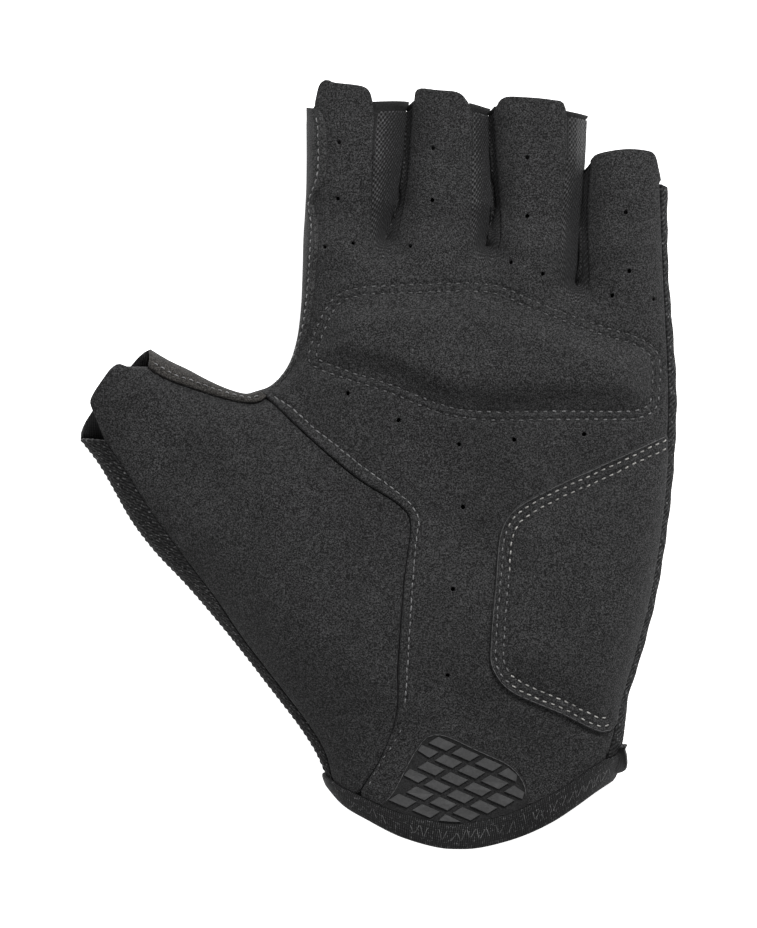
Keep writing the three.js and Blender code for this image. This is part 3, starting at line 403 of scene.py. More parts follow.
def dome(share):
    return np.sqrt(1 - (1 - np.minimum(share, 1)) ** 2)


def relief_at(points):
    """Swells, folds and waves of the leather, above the plain form."""
    rise = np.zeros(len(points))
    for across, along, reach, height in MOULDS:
        middle = plan([(across, along)])[0]
        distance = np.linalg.norm(points - middle, axis=1) / (reach * PALM_BREADTH)
        rise += height * PALM_HEIGHT * bell(distance)
    swell = line_distance(points, knuckle_ring) - KNUCKLE_MARGIN
    rise += KNUCKLE_SWELL * ease(swell / SWELL_EDGE) * is_inside(points, knuckle_line)
    for *ends, width, depth in FOLDS:
        crease = plan(np.reshape(ends, (2, 2)))
        rise -= depth * bell(line_distance(points, crease) / width)
    for wavelength, cos, sin, phase, height in WAVES:
        along = points[:, 0] * cos + points[:, 1] * sin
        rise += height * np.sin(along * 2 * math.pi / wavelength + phase)
    return rise


def top_at(points):
    height, rim = form_at(points)
    rise = dome(inset_at(points) / rim)
    return height * WIDEST + rise * (height * (1 - WIDEST) + relief_at(points))


def bottom_at(points):
    height, _ = form_at(points)
    return height * WIDEST * (1 - dome(inset_at(points) / BACK_RIM))


def skin(points, side="palm"):
    """Places on the skin and their outward normals."""
    height_at = top_at if side == "palm" else bottom_at
    probe = 0.12
    count = len(points)
    shifts = np.array([(0, 0), (probe, 0), (-probe, 0), (0, probe), (0, -probe)])
    heights = height_at((points + shifts[:, None]).reshape(-1, 2)).reshape(5, count)
    slope_x = (heights[1] - heights[2]) / (2 * probe)
    slope_y = (heights[3] - heights[4]) / (2 * probe)
    normals = unit(np.column_stack([-slope_x, -slope_y, np.ones(count)]))
    return np.column_stack([points, heights[0]]), normals if side == "palm" else -normals


# Meshes.

def metres(points):
    return np.asarray(points, float) * 0.001


def add_mesh(name, points, faces, material, uv=None, smooth_shading=True):
    """A mesh object from millimetre points. uv gives one pair of millimetres for each point."""
    mesh = bpy.data.meshes.new(name)
    mesh.from_pydata(metres(points).tolist(), [], [list(map(int, face)) for face in faces])
    mesh.validate()
    if uv is not None:
        layer = mesh.uv_layers.new(name="cloth")
        corners = np.empty(len(mesh.loops), np.int32)
        mesh.loops.foreach_get("vertex_index", corners)
        layer.data.foreach_set("uv", metres(uv)[corners].astype(np.float32).ravel())
    mesh.polygons.foreach_set("use_smooth", np.full(len(mesh.polygons), smooth_shading))
    mesh.materials.append(material)
    piece = bpy.data.objects.new(name, mesh)
    bpy.context.scene.collection.objects.link(piece)
    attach(piece, "root")
    return piece


def thicken(points, normals, sheet, outer, inner):
    """Points and faces of the closed solid between two layers of a sheet of triangles or quads."""
    count = len(points)
    outer, inner = (np.broadcast_to(value, count)[:, None] for value in (outer, inner))
    both = np.vstack([points + normals * outer, points + normals * inner])
    corners = sheet.shape[1]
    sides = np.vstack([sheet[:, [k, (k + 1) % corners]] for k in range(corners)])
    there, back = sides[:, 0] * count + sides[:, 1], sides[:, 1] * count + sides[:, 0]
    a, b = sides[~np.isin(there, back)].T
    walls = np.column_stack([a, a + count, b + count, b])
    return both, sheet.tolist() + (sheet[:, ::-1] + count).tolist() + walls.tolist()


def cloth_uv(u, v):
    return np.column_stack([u.ravel(), v.ravel()])


def flat_mesh(outline, step, rows=(), holes=()):
    """Points and triangles over a closed outline, with rows of points and round holes kept."""
    outline = anticlockwise(outline)
    ring = closed(outline)
    low, high = outline.min(0), outline.max(0)
    ys = np.arange(low[1], high[1], step * math.sqrt(0.75))
    grid = []
    for k, y in enumerate(ys):
        xs = np.arange(low[0] + (k % 2) * step / 2, high[0], step)
        grid.append(np.column_stack([xs, np.full(len(xs), y)]))
    fill = np.vstack(grid)
    fill = fill[is_inside(fill, outline)]
    keep = line_distance(fill, ring) > step * 0.6
    fixed = []
    for row in rows:
        row = row[is_inside(row, outline)]
        row = row[line_distance(row, ring) > step * 0.12]
        fixed.append(row)
        if len(row) > 1:
            keep &= line_distance(fill, row) > step * 0.55
    for middle, radius in holes:
        keep &= np.linalg.norm(fill - middle, axis=1) > radius + step * 0.5
    start = len(outline)
    points, edges = [outline], [(k, (k + 1) % start) for k in range(start)]
    turn = np.linspace(0, 2 * math.pi, HOLE_SIDES, endpoint=False)
    circle = np.column_stack([np.cos(turn), np.sin(turn)])
    for middle, radius in holes:
        edges += [(start + k, start + (k + 1) % HOLE_SIDES) for k in range(HOLE_SIDES)]
        points += [middle + radius * circle, middle + radius * HOLE_RING * circle]
        start += 2 * HOLE_SIDES
    points = np.vstack(points + fixed + [fill[keep]])
    flat, _, triangles, *_ = delaunay_2d_cdt([Vector(point) for point in points], edges, [], 0, 1e-4)
    flat, triangles = np.array([tuple(point) for point in flat]), np.array(triangles)
    middles = flat[triangles].mean(1)
    inside = is_inside(middles, outline)
    for middle, radius in holes:
        inside &= np.linalg.norm(middles - middle, axis=1) > radius * 0.96
    triangles = triangles[inside]
    a, b, c = (flat[triangles[:, k]] for k in range(3))
    area = (b[:, 0] - a[:, 0]) * (c[:, 1] - a[:, 1]) - (b[:, 1] - a[:, 1]) * (c[:, 0] - a[:, 0])
    triangles = triangles[np.abs(area) > 1e-6]
    area = area[np.abs(area) > 1e-6]
    triangles[area < 0] = triangles[area < 0][:, ::-1]
    used, triangles = np.unique(triangles, return_inverse=True)
    return flat[used], triangles.reshape(-1, 3)


def rounded(distance, radius):
    """How far a turned edge of that radius drops at a distance from its border."""
    out = np.clip(1 - distance / radius, 0, 1)
    return radius * (1 - np.sqrt(1 - out ** 2))


def band_grid(edges, seams, over, under, inset=BACK_INSET):
    """Rows of places and normals from the seam over the wall line to an inset underneath."""
    inward = seams - edges
    width = np.linalg.norm(inward, axis=1)
    inward /= width[:, None]
    _, rim = form_at(seams)
    top_turn = np.arccos(np.clip(1 - width / rim, 0, 1))
    under_turn = math.acos(1 - inset / BACK_RIM)
    places, normals = [], []
    for k in range(over, 0, -1):
        at = width * (1 - np.cos(top_turn * k / over)) / (1 - np.cos(top_turn))
        place, normal = skin(edges + inward * at[:, None])
        places.append(place)
        normals.append(normal)
    height, _ = form_at(edges)
    places.append(np.column_stack([edges, height * WIDEST]))
    normals.append(np.column_stack([-inward, np.zeros(len(edges))]))
    for k in range(1, under + 1):
        at = BACK_RIM * (1 - math.cos(under_turn * k / under))
        place, normal = skin(edges + inward * at, "back")
        places.append(place)
        normals.append(normal)
    places, normals = np.stack(places, 1), np.stack(normals, 1)
    # The finite steps at a wall line are blended into even turns.
    for _ in range(2):
        normals[:, 1:-1] = normals[:, :-2] + 2 * normals[:, 1:-1] + normals[:, 2:]
        normals = unit(normals)
    return places, normals


def grid_faces(rows, columns, flip=False):
    a = (np.arange(rows - 1)[:, None] * columns + np.arange(columns - 1)).ravel()
    faces = np.column_stack([a, a + columns, a + columns + 1, a + 1])
    return faces[:, ::-1] if flip else faces


def grid_lengths(places):
    """Length along and across the grid at each of its points, in millimetres."""
    along = np.linalg.norm(np.diff(places, axis=0), axis=2)
    across = np.linalg.norm(np.diff(places, axis=1), axis=2)
    middle = along[:, along.shape[1] // 2]
    u = np.repeat(np.concatenate([[0], np.cumsum(middle)])[:, None], places.shape[1], 1)
    v = np.concatenate([np.zeros((len(places), 1)), np.cumsum(across, 1)], 1)
    return u, v


def add_band(name, places, normals, wall, material, outer=0.0, flip=False):
    """A thickened grid. outer gives how far its outer face stands off the skin."""
    rows, columns, _ = places.shape
    u, v = grid_lengths(places)
    faces = grid_faces(rows, columns, flip)
    outer = np.broadcast_to(outer, (rows, columns)).ravel()
    points, faces = thicken(places.reshape(-1, 3), normals.reshape(-1, 3), faces, outer, outer - wall)
    return add_mesh(name, points, faces, material, uv=np.tile(cloth_uv(u, v), (2, 1)))


def add_threads(name, starts, ends, place, material, radius=0.24, lift=0.2, dip=0.3):
    """Short threads from start to end plan points, each arched over the surface that place gives."""
    rings, sides = 7, 6
    t = np.linspace(0, 1, rings)
    count = len(starts)
    middle = starts[:, None] + (ends - starts)[:, None] * t[None, :, None]
    spots, normals = place(middle.reshape(-1, 2))
    spots, normals = spots.reshape(count, rings, 3), normals.reshape(count, rings, 3)
    arch = lift * np.sin(math.pi * t) ** 0.5 - dip * np.abs(2 * t - 1) ** 5
    spots = spots + normals * arch[None, :, None]
    way = unit(np.gradient(spots, axis=1))
    across = unit(np.cross(way, normals))
    up = np.cross(across, way)
    swell = radius * (0.62 + 0.38 * np.sin(math.pi * t) ** 0.5)
    turn = np.linspace(0, 2 * math.pi, sides, endpoint=False)
    cos, sin = np.cos(turn)[:, None], np.sin(turn)[:, None]
    points = spots[:, :, None] + swell[:, None, None] * (cos * across[:, :, None] + sin * up[:, :, None])
    first = np.arange(count)[:, None, None] * rings * sides
    ring = np.arange(rings - 1)[None, :, None] * sides
    side = np.arange(sides)[None, None, :]
    following = (side + 1) % sides
    corners = [first + ring + step for step in (side, following, sides + following, sides + side)]
    faces = np.stack(corners, -1).reshape(-1, 4).tolist()
    for k in range(count):
        base = k * rings * sides
        faces.append([base + s for s in reversed(range(sides))])
        faces.append([base + (rings - 1) * sides + s for s in range(sides)])
    lengths = np.linalg.norm(ends - starts, axis=1)
    u = np.broadcast_to((lengths[:, None] * t)[:, :, None], (count, rings, sides))
    v = np.broadcast_to((turn * radius)[None, None], (count, rings, sides))
    return add_mesh(name, points.reshape(-1, 3), faces, material, uv=cloth_uv(u, v))


def stitches_on(line, pitch, share, sway=0.06):
    """Starts and ends of stitches along a plan line."""
    count = max(2, round(line_length(line) / pitch))
    nodes = spaced(line, count)
    way = np.diff(nodes, axis=0)
    across = unit(np.column_stack([-way[:, 1], way[:, 0]]))
    middle = (nodes[1:] + nodes[:-1]) / 2 + across * chance.normal(0, sway, (count, 1))
    half = way * share / 2 * chance.normal(1, 0.08, (count, 1)) + across * chance.normal(0, sway, (count, 1))
    return middle - half, middle + half


# Materials.

def add_node(tree, kind, inputs=None, **settings):
    """A shader node. An input is a value, or the socket that feeds it."""
    made = tree.nodes.new(kind)
    for key, value in settings.items():
        setattr(made, key, value)
    for key, value in (inputs or {}).items():
        if isinstance(value, bpy.types.NodeSocket):
            tree.links.new(value, made.inputs[key])
        else:
            made.inputs[key].default_value = value
    return made


def maths(tree, operation, *values):
    return add_node(tree, "ShaderNodeMath", dict(enumerate(values)), operation=operation).outputs[0]


def times(tree, *values):
    return maths(tree, "MULTIPLY", *values)


def ridges(tree, value):
    """Rounded ridges, one for each whole step of the value."""
    return maths(tree, "ABSOLUTE", maths(tree, "SINE", times(tree, value, math.pi)))


def cloth_place(tree):
    """The two lengths along a cloth piece, in metres."""
    flat = add_node(tree, "ShaderNodeUVMap", uv_map="cloth").outputs["UV"]
    split = add_node(tree, "ShaderNodeSeparateXYZ", {"Vector": flat})
    return flat, split.outputs["X"], split.outputs["Y"]


def ramp(tree, value, low, high, to_low=0.0, to_high=1.0):
    limits = {"Value": value, "From Min": low, "From Max": high, "To Min": to_low, "To Max": to_high}
    return add_node(tree, "ShaderNodeMapRange", limits).outputs["Result"]


def noise(tree, vector, scale, detail=2.0, roughness=0.6):
    inputs = {"Vector": vector, "Scale": scale, "Detail": detail, "Roughness": roughness}
    return add_node(tree, "ShaderNodeTexNoise", inputs).outputs["Fac"]


def tinted(tree, color, factor):
    """The colour times a value."""
    inputs = {0: color, "Scale": factor}
    return add_node(tree, "ShaderNodeVectorMath", inputs, operation="SCALE").outputs["Vector"]


def blended(tree, low, high, share):
    """One colour turning into another."""
    mix = add_node(tree, "ShaderNodeMix", data_type="RGBA")
    for socket, name in ((share, "Factor"), (low, 6), (high, 7)):
        tree.links.new(socket, mix.inputs[name])
    return mix.outputs[2]


def bump(tree, height, distance):
    inputs = {"Height": height, "Distance": distance, "Strength": 1.0}
    return add_node(tree, "ShaderNodeBump", inputs).outputs["Normal"]


def new_group(name, inputs, outputs):
    """A shader group with named sockets. Gives its tree, its inputs and its output node."""
    kinds = {"color": "NodeSocketColor", "value": "NodeSocketFloat", "vector": "NodeSocketVector"}
    tree = bpy.data.node_groups.new(name, "ShaderNodeTree")
    for label, (kind, value) in inputs.items():
        socket = tree.interface.new_socket(name=label, in_out="INPUT", socket_type=kinds[kind])
        socket.default_value = value
    for label, kind in outputs.items():
        tree.interface.new_socket(name=label, in_out="OUTPUT", socket_type=kinds[kind])
    return tree, tree.nodes.new("NodeGroupInput").outputs, tree.nodes.new("NodeGroupOutput")


def finish_group(tree, output, **sockets):
    for label, socket in sockets.items():
        tree.links.new(socket, output.inputs[label])
    return tree


def make_nap_group():
    """Brushed suede: salt and pepper grain, slow mottling, rubbed patches and the nap's bump."""
    tree, given, output = new_group(
        "suede_nap",
        {"Color": ("color", (0.03, 0.03, 0.03, 1)), "Grain": ("value", 2600.0), "Contrast": ("value", 0.9),
         "Mottle": ("value", 0.25), "Sparkle": ("value", 0.5), "Depth": ("value", 0.0002)},
        {"Color": "color", "Roughness": "value", "Normal": "vector"},
    )
    place = add_node(tree, "ShaderNodeTexCoord").outputs["Object"]
    fine = noise(tree, place, given["Grain"], 3.0, 0.75)
    coarse = noise(tree, place, times(tree, given["Grain"], 0.3), 2.0, 0.6)
    broad = noise(tree, place, 45.0, 3.0, 0.6)
    rubbed = ramp(tree, noise(tree, place, 95.0, 4.0, 0.65), 0.52, 0.75)
    grain = maths(tree, "ADD", times(tree, fine, 0.9), times(tree, coarse, 0.1))

    def round_one(value, strength):
        """A value round 0.5 as a factor round 1."""
        return maths(tree, "MULTIPLY_ADD", maths(tree, "SUBTRACT", value, 0.5), strength, 1.0)

    salted = round_one(grain, times(tree, given["Contrast"], 4.0))
    mottled = round_one(broad, times(tree, given["Mottle"], 2.0))
    wear_and_shade = maths(tree, "MULTIPLY_ADD", rubbed, 0.07, 1.0)
    tone = maths(tree, "MAXIMUM", times(tree, times(tree, salted, mottled), wear_and_shade), 0.25)
    spark = ramp(tree, noise(tree, place, times(tree, given["Grain"], 0.8), 1.0, 0.5), 0.66, 0.8)
    tone = maths(tree, "ADD", tone, times(tree, spark, given["Sparkle"]))
    return finish_group(
        tree, output, Color=tinted(tree, given["Color"], tone),
        Roughness=ramp(tree, fine, 0.3, 0.7, 0.78, 0.98),
        Normal=bump(tree, grain, given["Depth"]),
    )


def make_net_group():
    """Open mesh knit: a diamond net of yarn, with its pores darkened as painted shade and its loops
    brightened as painted highlights.
    """
    tree, given, output = new_group(
        "mesh_net",
        {"Color": ("color", (0.02, 0.02, 0.02, 1)), "Yarn": ("color", (0.08, 0.08, 0.08, 1)),
         "Pitch": ("value", 0.0009), "Depth": ("value", 0.0002)},
        {"Color": "color", "Roughness": "value", "Normal": "vector"},
    )
    flat, x, y = cloth_place(tree)
    drift = times(tree, noise(tree, flat, 420.0, 2.0, 0.5), 0.7)
    u = maths(tree, "ADD", maths(tree, "DIVIDE", x, given["Pitch"]), drift)
    v = maths(tree, "DIVIDE", y, given["Pitch"])
    waves = [ridges(tree, maths(tree, operation, u, v)) for operation in ("ADD", "SUBTRACT")]
    net = maths(tree, "MAXIMUM", *waves)
    loops = times(tree, ramp(tree, waves[0], 0.75, 1.0), ramp(tree, waves[1], 0.35, 0.9))
    broken = ramp(tree, noise(tree, flat, 1500.0, 2.0, 0.6), 0.38, 0.62)
    # The yarn's pattern, darker in the pores as painted shade and with bright loops as painted highlights.
    base = tinted(tree, given["Color"], ramp(tree, net, 0.6, 0.95, 0.25, 1.2))
    return finish_group(
        tree, output, Color=blended(tree, base, given["Yarn"], times(tree, loops, broken)),
        Roughness=ramp(tree, net, 0.5, 1.0, 0.95, 0.6), Normal=bump(tree, net, given["Depth"]),
    )


def make_rib_group():
    """Ribbed knit: leaning ribs of chained loops with loose bright fibres."""
    tree, given, output = new_group(
        "knit_ribs",
        {"Color": ("color", (0.02, 0.02, 0.02, 1)), "Yarn": ("color", (0.07, 0.07, 0.07, 1)),
         "Pitch": ("value", 0.0006), "Lean": ("value", 0.0), "Loop": ("value", 0.0007),
         "Depth": ("value", 0.00015)},
        {"Color": "color", "Roughness": "value", "Normal": "vector"},
    )
    flat, u, v = cloth_place(tree)
    drift = times(tree, noise(tree, flat, 300.0, 2.0, 0.5), 0.8)
    across = maths(tree, "DIVIDE", maths(tree, "MULTIPLY_ADD", v, given["Lean"], u), given["Pitch"])
    rib = ridges(tree, maths(tree, "ADD", across, drift))
    loop = ridges(tree, maths(tree, "DIVIDE", v, given["Loop"]))
    height = times(tree, rib, ramp(tree, loop, 0.0, 1.0, 0.6, 1.0))
    fibre = ramp(tree, noise(tree, flat, 1200.0, 2.0, 0.7), 0.55, 0.7)
    shine = times(tree, fibre, ramp(tree, height, 0.35, 0.9))
    base = tinted(tree, given["Color"], ramp(tree, height, 0.1, 0.9, 0.25, 1.5))
    return finish_group(
        tree, output, Color=blended(tree, base, given["Yarn"], shine),
        Roughness=ramp(tree, height, 0.0, 1.0, 0.95, 0.65), Normal=bump(tree, height, given["Depth"]),
    )


def make_twist_group():
    """Twisted sewing thread."""
    tree, given, output = new_group(
        "thread_twist",
        {"Color": ("color", (0.15, 0.15, 0.15, 1)), "Ply": ("value", 0.00035)},
        {"Color": "color", "Roughness": "value", "Normal": "vector"},
    )
    _, u, v = cloth_place(tree)
    place = add_node(tree, "ShaderNodeTexCoord").outputs["Object"]
    turn = maths(tree, "ADD", u, times(tree, v, 0.6))
    ply = ridges(tree, maths(tree, "DIVIDE", turn, given["Ply"]))
    patchy = ramp(tree, noise(tree, place, 260.0, 3.0, 0.7), 0.3, 0.7, 0.45, 1.35)
    tone = times(tree, ramp(tree, ply, 0.0, 1.0, 0.55, 1.1), patchy)
    return finish_group(
        tree, output, Color=tinted(tree, given["Color"], tone),
        Roughness=ramp(tree, ply, 0.0, 1.0, 0.8, 0.5), Normal=bump(tree, ply, 0.00005),
    )


def make_rubber_group():
    """Printed rubber: faint pits and dust."""
    tree, given, output = new_group(
        "printed_rubber",
        {"Color": ("color", (0.05, 0.05, 0.05, 1)), "Dust": ("value", 0.4), "Depth": ("value", 0.00006)},
        {"Color": "color", "Roughness": "value", "Normal": "vector"},
    )
    place = add_node(tree, "ShaderNodeTexCoord").outputs["Object"]
    pits = noise(tree, place, 1500.0, 3.0, 0.7)
    dust = ramp(tree, noise(tree, place, 380.0, 4.0, 0.7), 0.5, 0.72)
    tone = maths(tree, "ADD", ramp(tree, pits, 0.3, 0.7, 0.8, 1.2), times(tree, dust, given["Dust"]))
    return finish_group(
        tree, output, Color=tinted(tree, given["Color"], tone),
        Roughness=ramp(tree, dust, 0.0, 1.0, 0.55, 0.85), Normal=bump(tree, pits, given["Depth"]),
    )


nap, net, ribs, twist, printed = (
    make_nap_group(), make_net_group(), make_rib_group(), make_twist_group(), make_rubber_group())


def cloth_material(name, group, sheen=0.0, specular=0.3, **inputs):
    """A material whose colour, roughness and normal come from a group with these inputs."""
    material = bpy.data.materials.new(name)
    material.use_nodes = True
    tree = material.node_tree
    shader = next(n for n in tree.nodes if n.type == "BSDF_PRINCIPLED")
    look = add_node(tree, "ShaderNodeGroup", node_tree=group)
    for label, value in inputs.items():
        look.inputs[label].default_value = (*value, 1) if isinstance(value, tuple) else value
    for label, target in (("Color", "Base Color"), ("Roughness", "Roughness"), ("Normal", "Normal")):
        tree.links.new(look.outputs[label], shader.inputs[target])
    settings = {
        "Specular IOR Level": specular, "Sheen Weight": sheen, "Sheen Roughness": 0.45,
        "Sheen Tint": (0.5, 0.5, 0.52, 1)}
    for label, value in settings.items():
        shader.inputs[label].default_value = value
    return material


palm_suede = cloth_material(
    "palm_suede", nap, 0.05, 0.12, Color=(0.0175, 0.0175, 0.0178), Contrast=3.3, Sparkle=1.9)
thumb_suede = cloth_material(
    "thumb_suede", nap, 0.05, 0.12, Color=(0.0168, 0.0168, 0.0171), Contrast=3.3, Sparkle=1.9)
heel_suede = cloth_material(
    "heel_suede", nap, 0.05, 0.12, Color=(0.018, 0.018, 0.0183), Contrast=3.4, Sparkle=2.0)
hem_suede = cloth_material(
    "hem_suede", nap, 0.05, 0.15, Color=(0.02, 0.02, 0.0202), Contrast=3.3, Sparkle=1.8)
binding_suede = cloth_material(
    "thumb_binding", nap, 0.05, 0.15, Color=(0.0228, 0.0215, 0.02), Contrast=3.2, Sparkle=1.6)
gusset_mesh = cloth_material(
    "gusset_mesh", net, 0.05, 0.3, Color=(0.0065, 0.0065, 0.0067), Yarn=(0.068, 0.068, 0.07),
    Pitch=0.00125)
back_knit = cloth_material(
    "back_knit", ribs, 0.04, 0.15, Color=(0.005, 0.005, 0.0052), Yarn=(0.01, 0.01, 0.0103))
side_knit = cloth_material(
    "side_knit", ribs, 0.02, 0.15, Color=(0.0075, 0.0075, 0.0078), Yarn=(0.17, 0.17, 0.172),
    Pitch=0.0013, Lean=0.6, Loop=0.0012)
cuff_elastic = cloth_material(
    "cuff_elastic", ribs, 0.04, 0.2, Color=(0.0065, 0.0065, 0.0067), Yarn=(0.095, 0.095, 0.097),
    Pitch=0.00055, Loop=0.0006)
tab_webbing = cloth_material(
    "tab_webbing", ribs, 0.06, 0.2, Color=(0.02, 0.02, 0.0205), Yarn=(0.1, 0.1, 0.1),
    Pitch=0.0009, Loop=0.0007)
gel_skin = cloth_material("gel", printed, 0.0, 0.4, Color=(0.024, 0.025, 0.028))
tread_rubber = cloth_material("tread_rubber", printed, 0.0, 0.25, Color=(0.036, 0.036, 0.0365), Dust=0.5)
tread_base = cloth_material("tread_base", nap, 0.03, 0.15, Color=(0.013, 0.013, 0.0132), Contrast=1.2)
thread_dim = cloth_material("thread_dim", twist, 0.0, 0.3, Color=(0.078, 0.078, 0.079))
thread_grey = cloth_material("thread_grey", twist, 0.0, 0.3, Color=(0.13, 0.13, 0.131))
# A pale copy of the thread, a painted highlight for the heel pad's lit slopes.
thread_painted_lit = cloth_material("thread_painted_lit", twist, 0.0, 0.35, Color=(0.285, 0.28, 0.267))


# Palm.

little_seam = smooth(plan(LITTLE_SEAM), LEATHER_STEP)
thumb_stitch_line = smooth(plan(THUMB_STITCHES), 1.0)
thin_stitch_line = smooth(plan(THIN_STITCHES), 1.0)
ROW_GAP = 2.0
HEEL_ROW = 1.5
knuckle_rows = [knuckle_ring, closed(side_step(knuckle_line, ROW_GAP, loop=True))]
heel_rows = [side_step(heel_edge, HEEL_ROW), side_step(heel_edge, HEEL_ROW + ROW_GAP)]
air_holes = [(middle, AIR_HOLE_RADIUS) for middle in plan(AIR_HOLES)]
valleys = {name: valley_lines(rows) for name, rows in VALLEYS.items()}

# The palm's side that lies hidden under the index finger's hem.
HIDDEN_EDGE = [
    (0.01, 1.83), (0.022, 1.74), (0.026, 1.6), (0.024, 1.43), (0.006, 1.28), (0.01, 1.15),
    (0.006, 0.98), (-0.002, 0.916), (-0.014, 0.873), (-0.034, 0.833), (-0.07, 0.798),
    (-0.13, 0.772), (-0.172, 0.76),
]
FOLD_WIDTH = 2.1
FOLD_RISE = 0.9
# Rows of mesh points beside a turned border, and steps along a finger slit's leather.
TURN_ROWS = (0.12, 0.35, 0.8)
SLIT_STEPS = 90


def groove(distance, depth=0.45, width=0.5):
    """The furrow that a row of stitches pulls into leather."""
    return -depth * (bell(distance / width) + 0.4 * bell(distance / (3.2 * width)))


def palm_outer(points):
    """How far the palm's leather stands off the skin: the fold at the thumb seam, and furrows."""
    _, along = shares_of(points)
    seam = line_distance(points, thumb_seam)
    fold = FOLD_RISE * (1 - ease((seam - FOLD_WIDTH) / 2.2)) * ease((along - 0.19) / 0.05)
    off = fold - 0.5 * rounded(seam, 0.8)
    off += groove(line_distance(points, thumb_stitch_line), 0.7, 0.55)
    for row in knuckle_rows:
        off += groove(line_distance(points, row))
    for middle, radius in air_holes:
        off -= 0.12 * bell(np.linalg.norm(points - middle, axis=1) / (2 * radius))
    return off


def standing(outer):
    """Gives places on a panel's face, and their normals, for plan points."""
    def place(points):
        places, normals = skin(points)
        return places + normals * outer(points)[:, None], normals
    return place


def add_panel(
    name, outline, material, outer, wall=LEATHER, base=None, step=LEATHER_STEP, side="palm", turn=0.45,
    rows=(), holes=(),
):
    """A leather panel over a plan outline with turned borders. base sets a flat underside."""
    outline = anticlockwise(outline)
    lines = [side_step(outline, distance, loop=True) for distance in TURN_ROWS if turn]
    flat, triangles = flat_mesh(outline, step, rows=lines + list(rows), holes=holes)
    places, normals = skin(flat, side)
    off = outer(flat)
    inner = np.minimum(off, 0) - wall if base is None else base
    if turn:
        off = off - rounded(line_distance(flat, closed(outline)), turn)
    if side == "back":
        triangles = triangles[:, ::-1]
    points, faces = thicken(places, normals, triangles, off, inner)
    return add_mesh(name, points, faces, material, uv=np.vstack([flat, flat]))


def even(value):
    return lambda points: np.full(len(points), float(value))


palm_outline = np.vstack([
    little_seam[::-1],
    smooth(plan(FINGER_FRONTS["little"]), LEATHER_STEP),
    spaced(valleys["ring_little"][0], SLIT_STEPS)[::-1],
    smooth(plan(FINGER_FRONTS["ring"]), LEATHER_STEP),
    spaced(valleys["middle_ring"][0], SLIT_STEPS)[::-1],
    smooth(plan(FINGER_FRONTS["middle"]), LEATHER_STEP),
    spaced(valleys["index_middle"][0], SLIT_STEPS)[::-1],
    smooth(plan(FINGER_FRONTS["index"]), LEATHER_STEP),
    smooth(plan(HIDDEN_EDGE), LEATHER_STEP)[:-1],
    smooth(plan(THUMB_SEAM), LEATHER_STEP)[:-1],
    part_between(cuff_seam, thumb_seam[-1, 0] + 0.5, little_seam[-1, 0] - 0.5),
])


def furrow_rows(lines, spread=(0.0, 0.35, -0.35, 0.8, -0.8)):
    """Rows of mesh points along stitch lines, so that the furrows show."""
    return [
        side_step(spaced(line, round(line_length(line) / FURROW_STEP)), off)
        for line in lines for off in spread
    ]


palm = add_panel(
    "palm_leather", palm_outline, palm_suede, palm_outer, holes=air_holes,
    rows=furrow_rows(knuckle_rows + [thumb_stitch_line]) + furrow_rows([thumb_seam], (2.6, 3.4)),
)
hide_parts("palm_panel")
on_palm = standing(palm_outer)

thumb_stitches = add_threads(
    "thumb_seam_stitches", *stitches_on(thumb_stitch_line, 2.0, 0.72), on_palm, thread_grey,
    radius=0.2)
thin_stitches = add_threads(
    "wrist_seam_stitches", *stitches_on(thin_stitch_line, 2.6, 0.35), on_palm, thread_grey,
    radius=0.15, lift=0.1)
for index, row in enumerate(knuckle_rows):
    starts, ends = stitches_on(row, 2.4, 0.42)
    across, along = shares_of(starts)
    # Lit and shaded copies of one thread: the stitches at the lower right take the grey thread as a painted
    # highlight, the rest take the dim thread as painted shade.
    lit = (across > 0.66) & (along < 0.76)
    for part, chosen, thread in (("wear_and_shade", ~lit, thread_dim), ("painted_lit", lit, thread_grey)):
        threads = add_threads(
            f"knuckle_stitches_{index + 1}_{part}", starts[chosen], ends[chosen], on_palm, thread,
            radius=0.2, lift=0.26)


# Thumb.

thumb_side_seam = smooth(plan(THUMB_SIDE_SEAM), LEATHER_STEP)
thumb_outline = np.vstack([
    side_step(smooth(plan(THUMB_TOP_SEAM), LEATHER_STEP), -0.9),
    smooth(plan(THUMB_FRONT), LEATHER_STEP),
    thumb_side_seam,
    part_between(cuff_seam, thumb_side_seam[-1, 0] + 0.5, thumb_seam[-1, 0] - 0.5),
    side_step(smooth(plan(THUMB_SEAM), LEATHER_STEP), -0.12)[::-1],
])
thumb_top_line = smooth(plan(THUMB_TOP_SEAM), 1.0)


def thumb_outer(points):
    """The thumb's leather dips where the binding holds it down."""
    return -0.7 * bell(line_distance(points, thumb_top_line) / 1.5)


thumb = add_panel("thumb_leather", thumb_outline, thumb_suede, thumb_outer)
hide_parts("thumb_panel")


# Turned hems of the index finger and of the thumb's top.

HEM_OVER = 14
HEM_UNDER = 6
HEM_WALL = 0.7
HEM_RISE = 1.1
HEM_SIDE_RISE = 0.1
HEM_TURN = 0.8
# The share of a hem's grid columns that lies over the wall line.
HEM_FACE = HEM_OVER / (HEM_OVER + HEM_UNDER)


def paired(edge_table, seam_table, step):
    """A wall line and its seam as the same number of steps."""
    count = round(line_length(plan(edge_table)) / step)
    return smooth(plan(edge_table), count=count), smooth(plan(seam_table), count=count)


def hem_profile():
    """How far a hem stands off the skin, from its inner edge over the wall line to its underside."""
    columns = np.arange(HEM_OVER + HEM_UNDER + 1)
    rise = HEM_RISE + (HEM_SIDE_RISE - HEM_RISE) * ease(columns / HEM_OVER)
    return rise - rounded(columns / 3 * HEM_TURN, HEM_TURN)


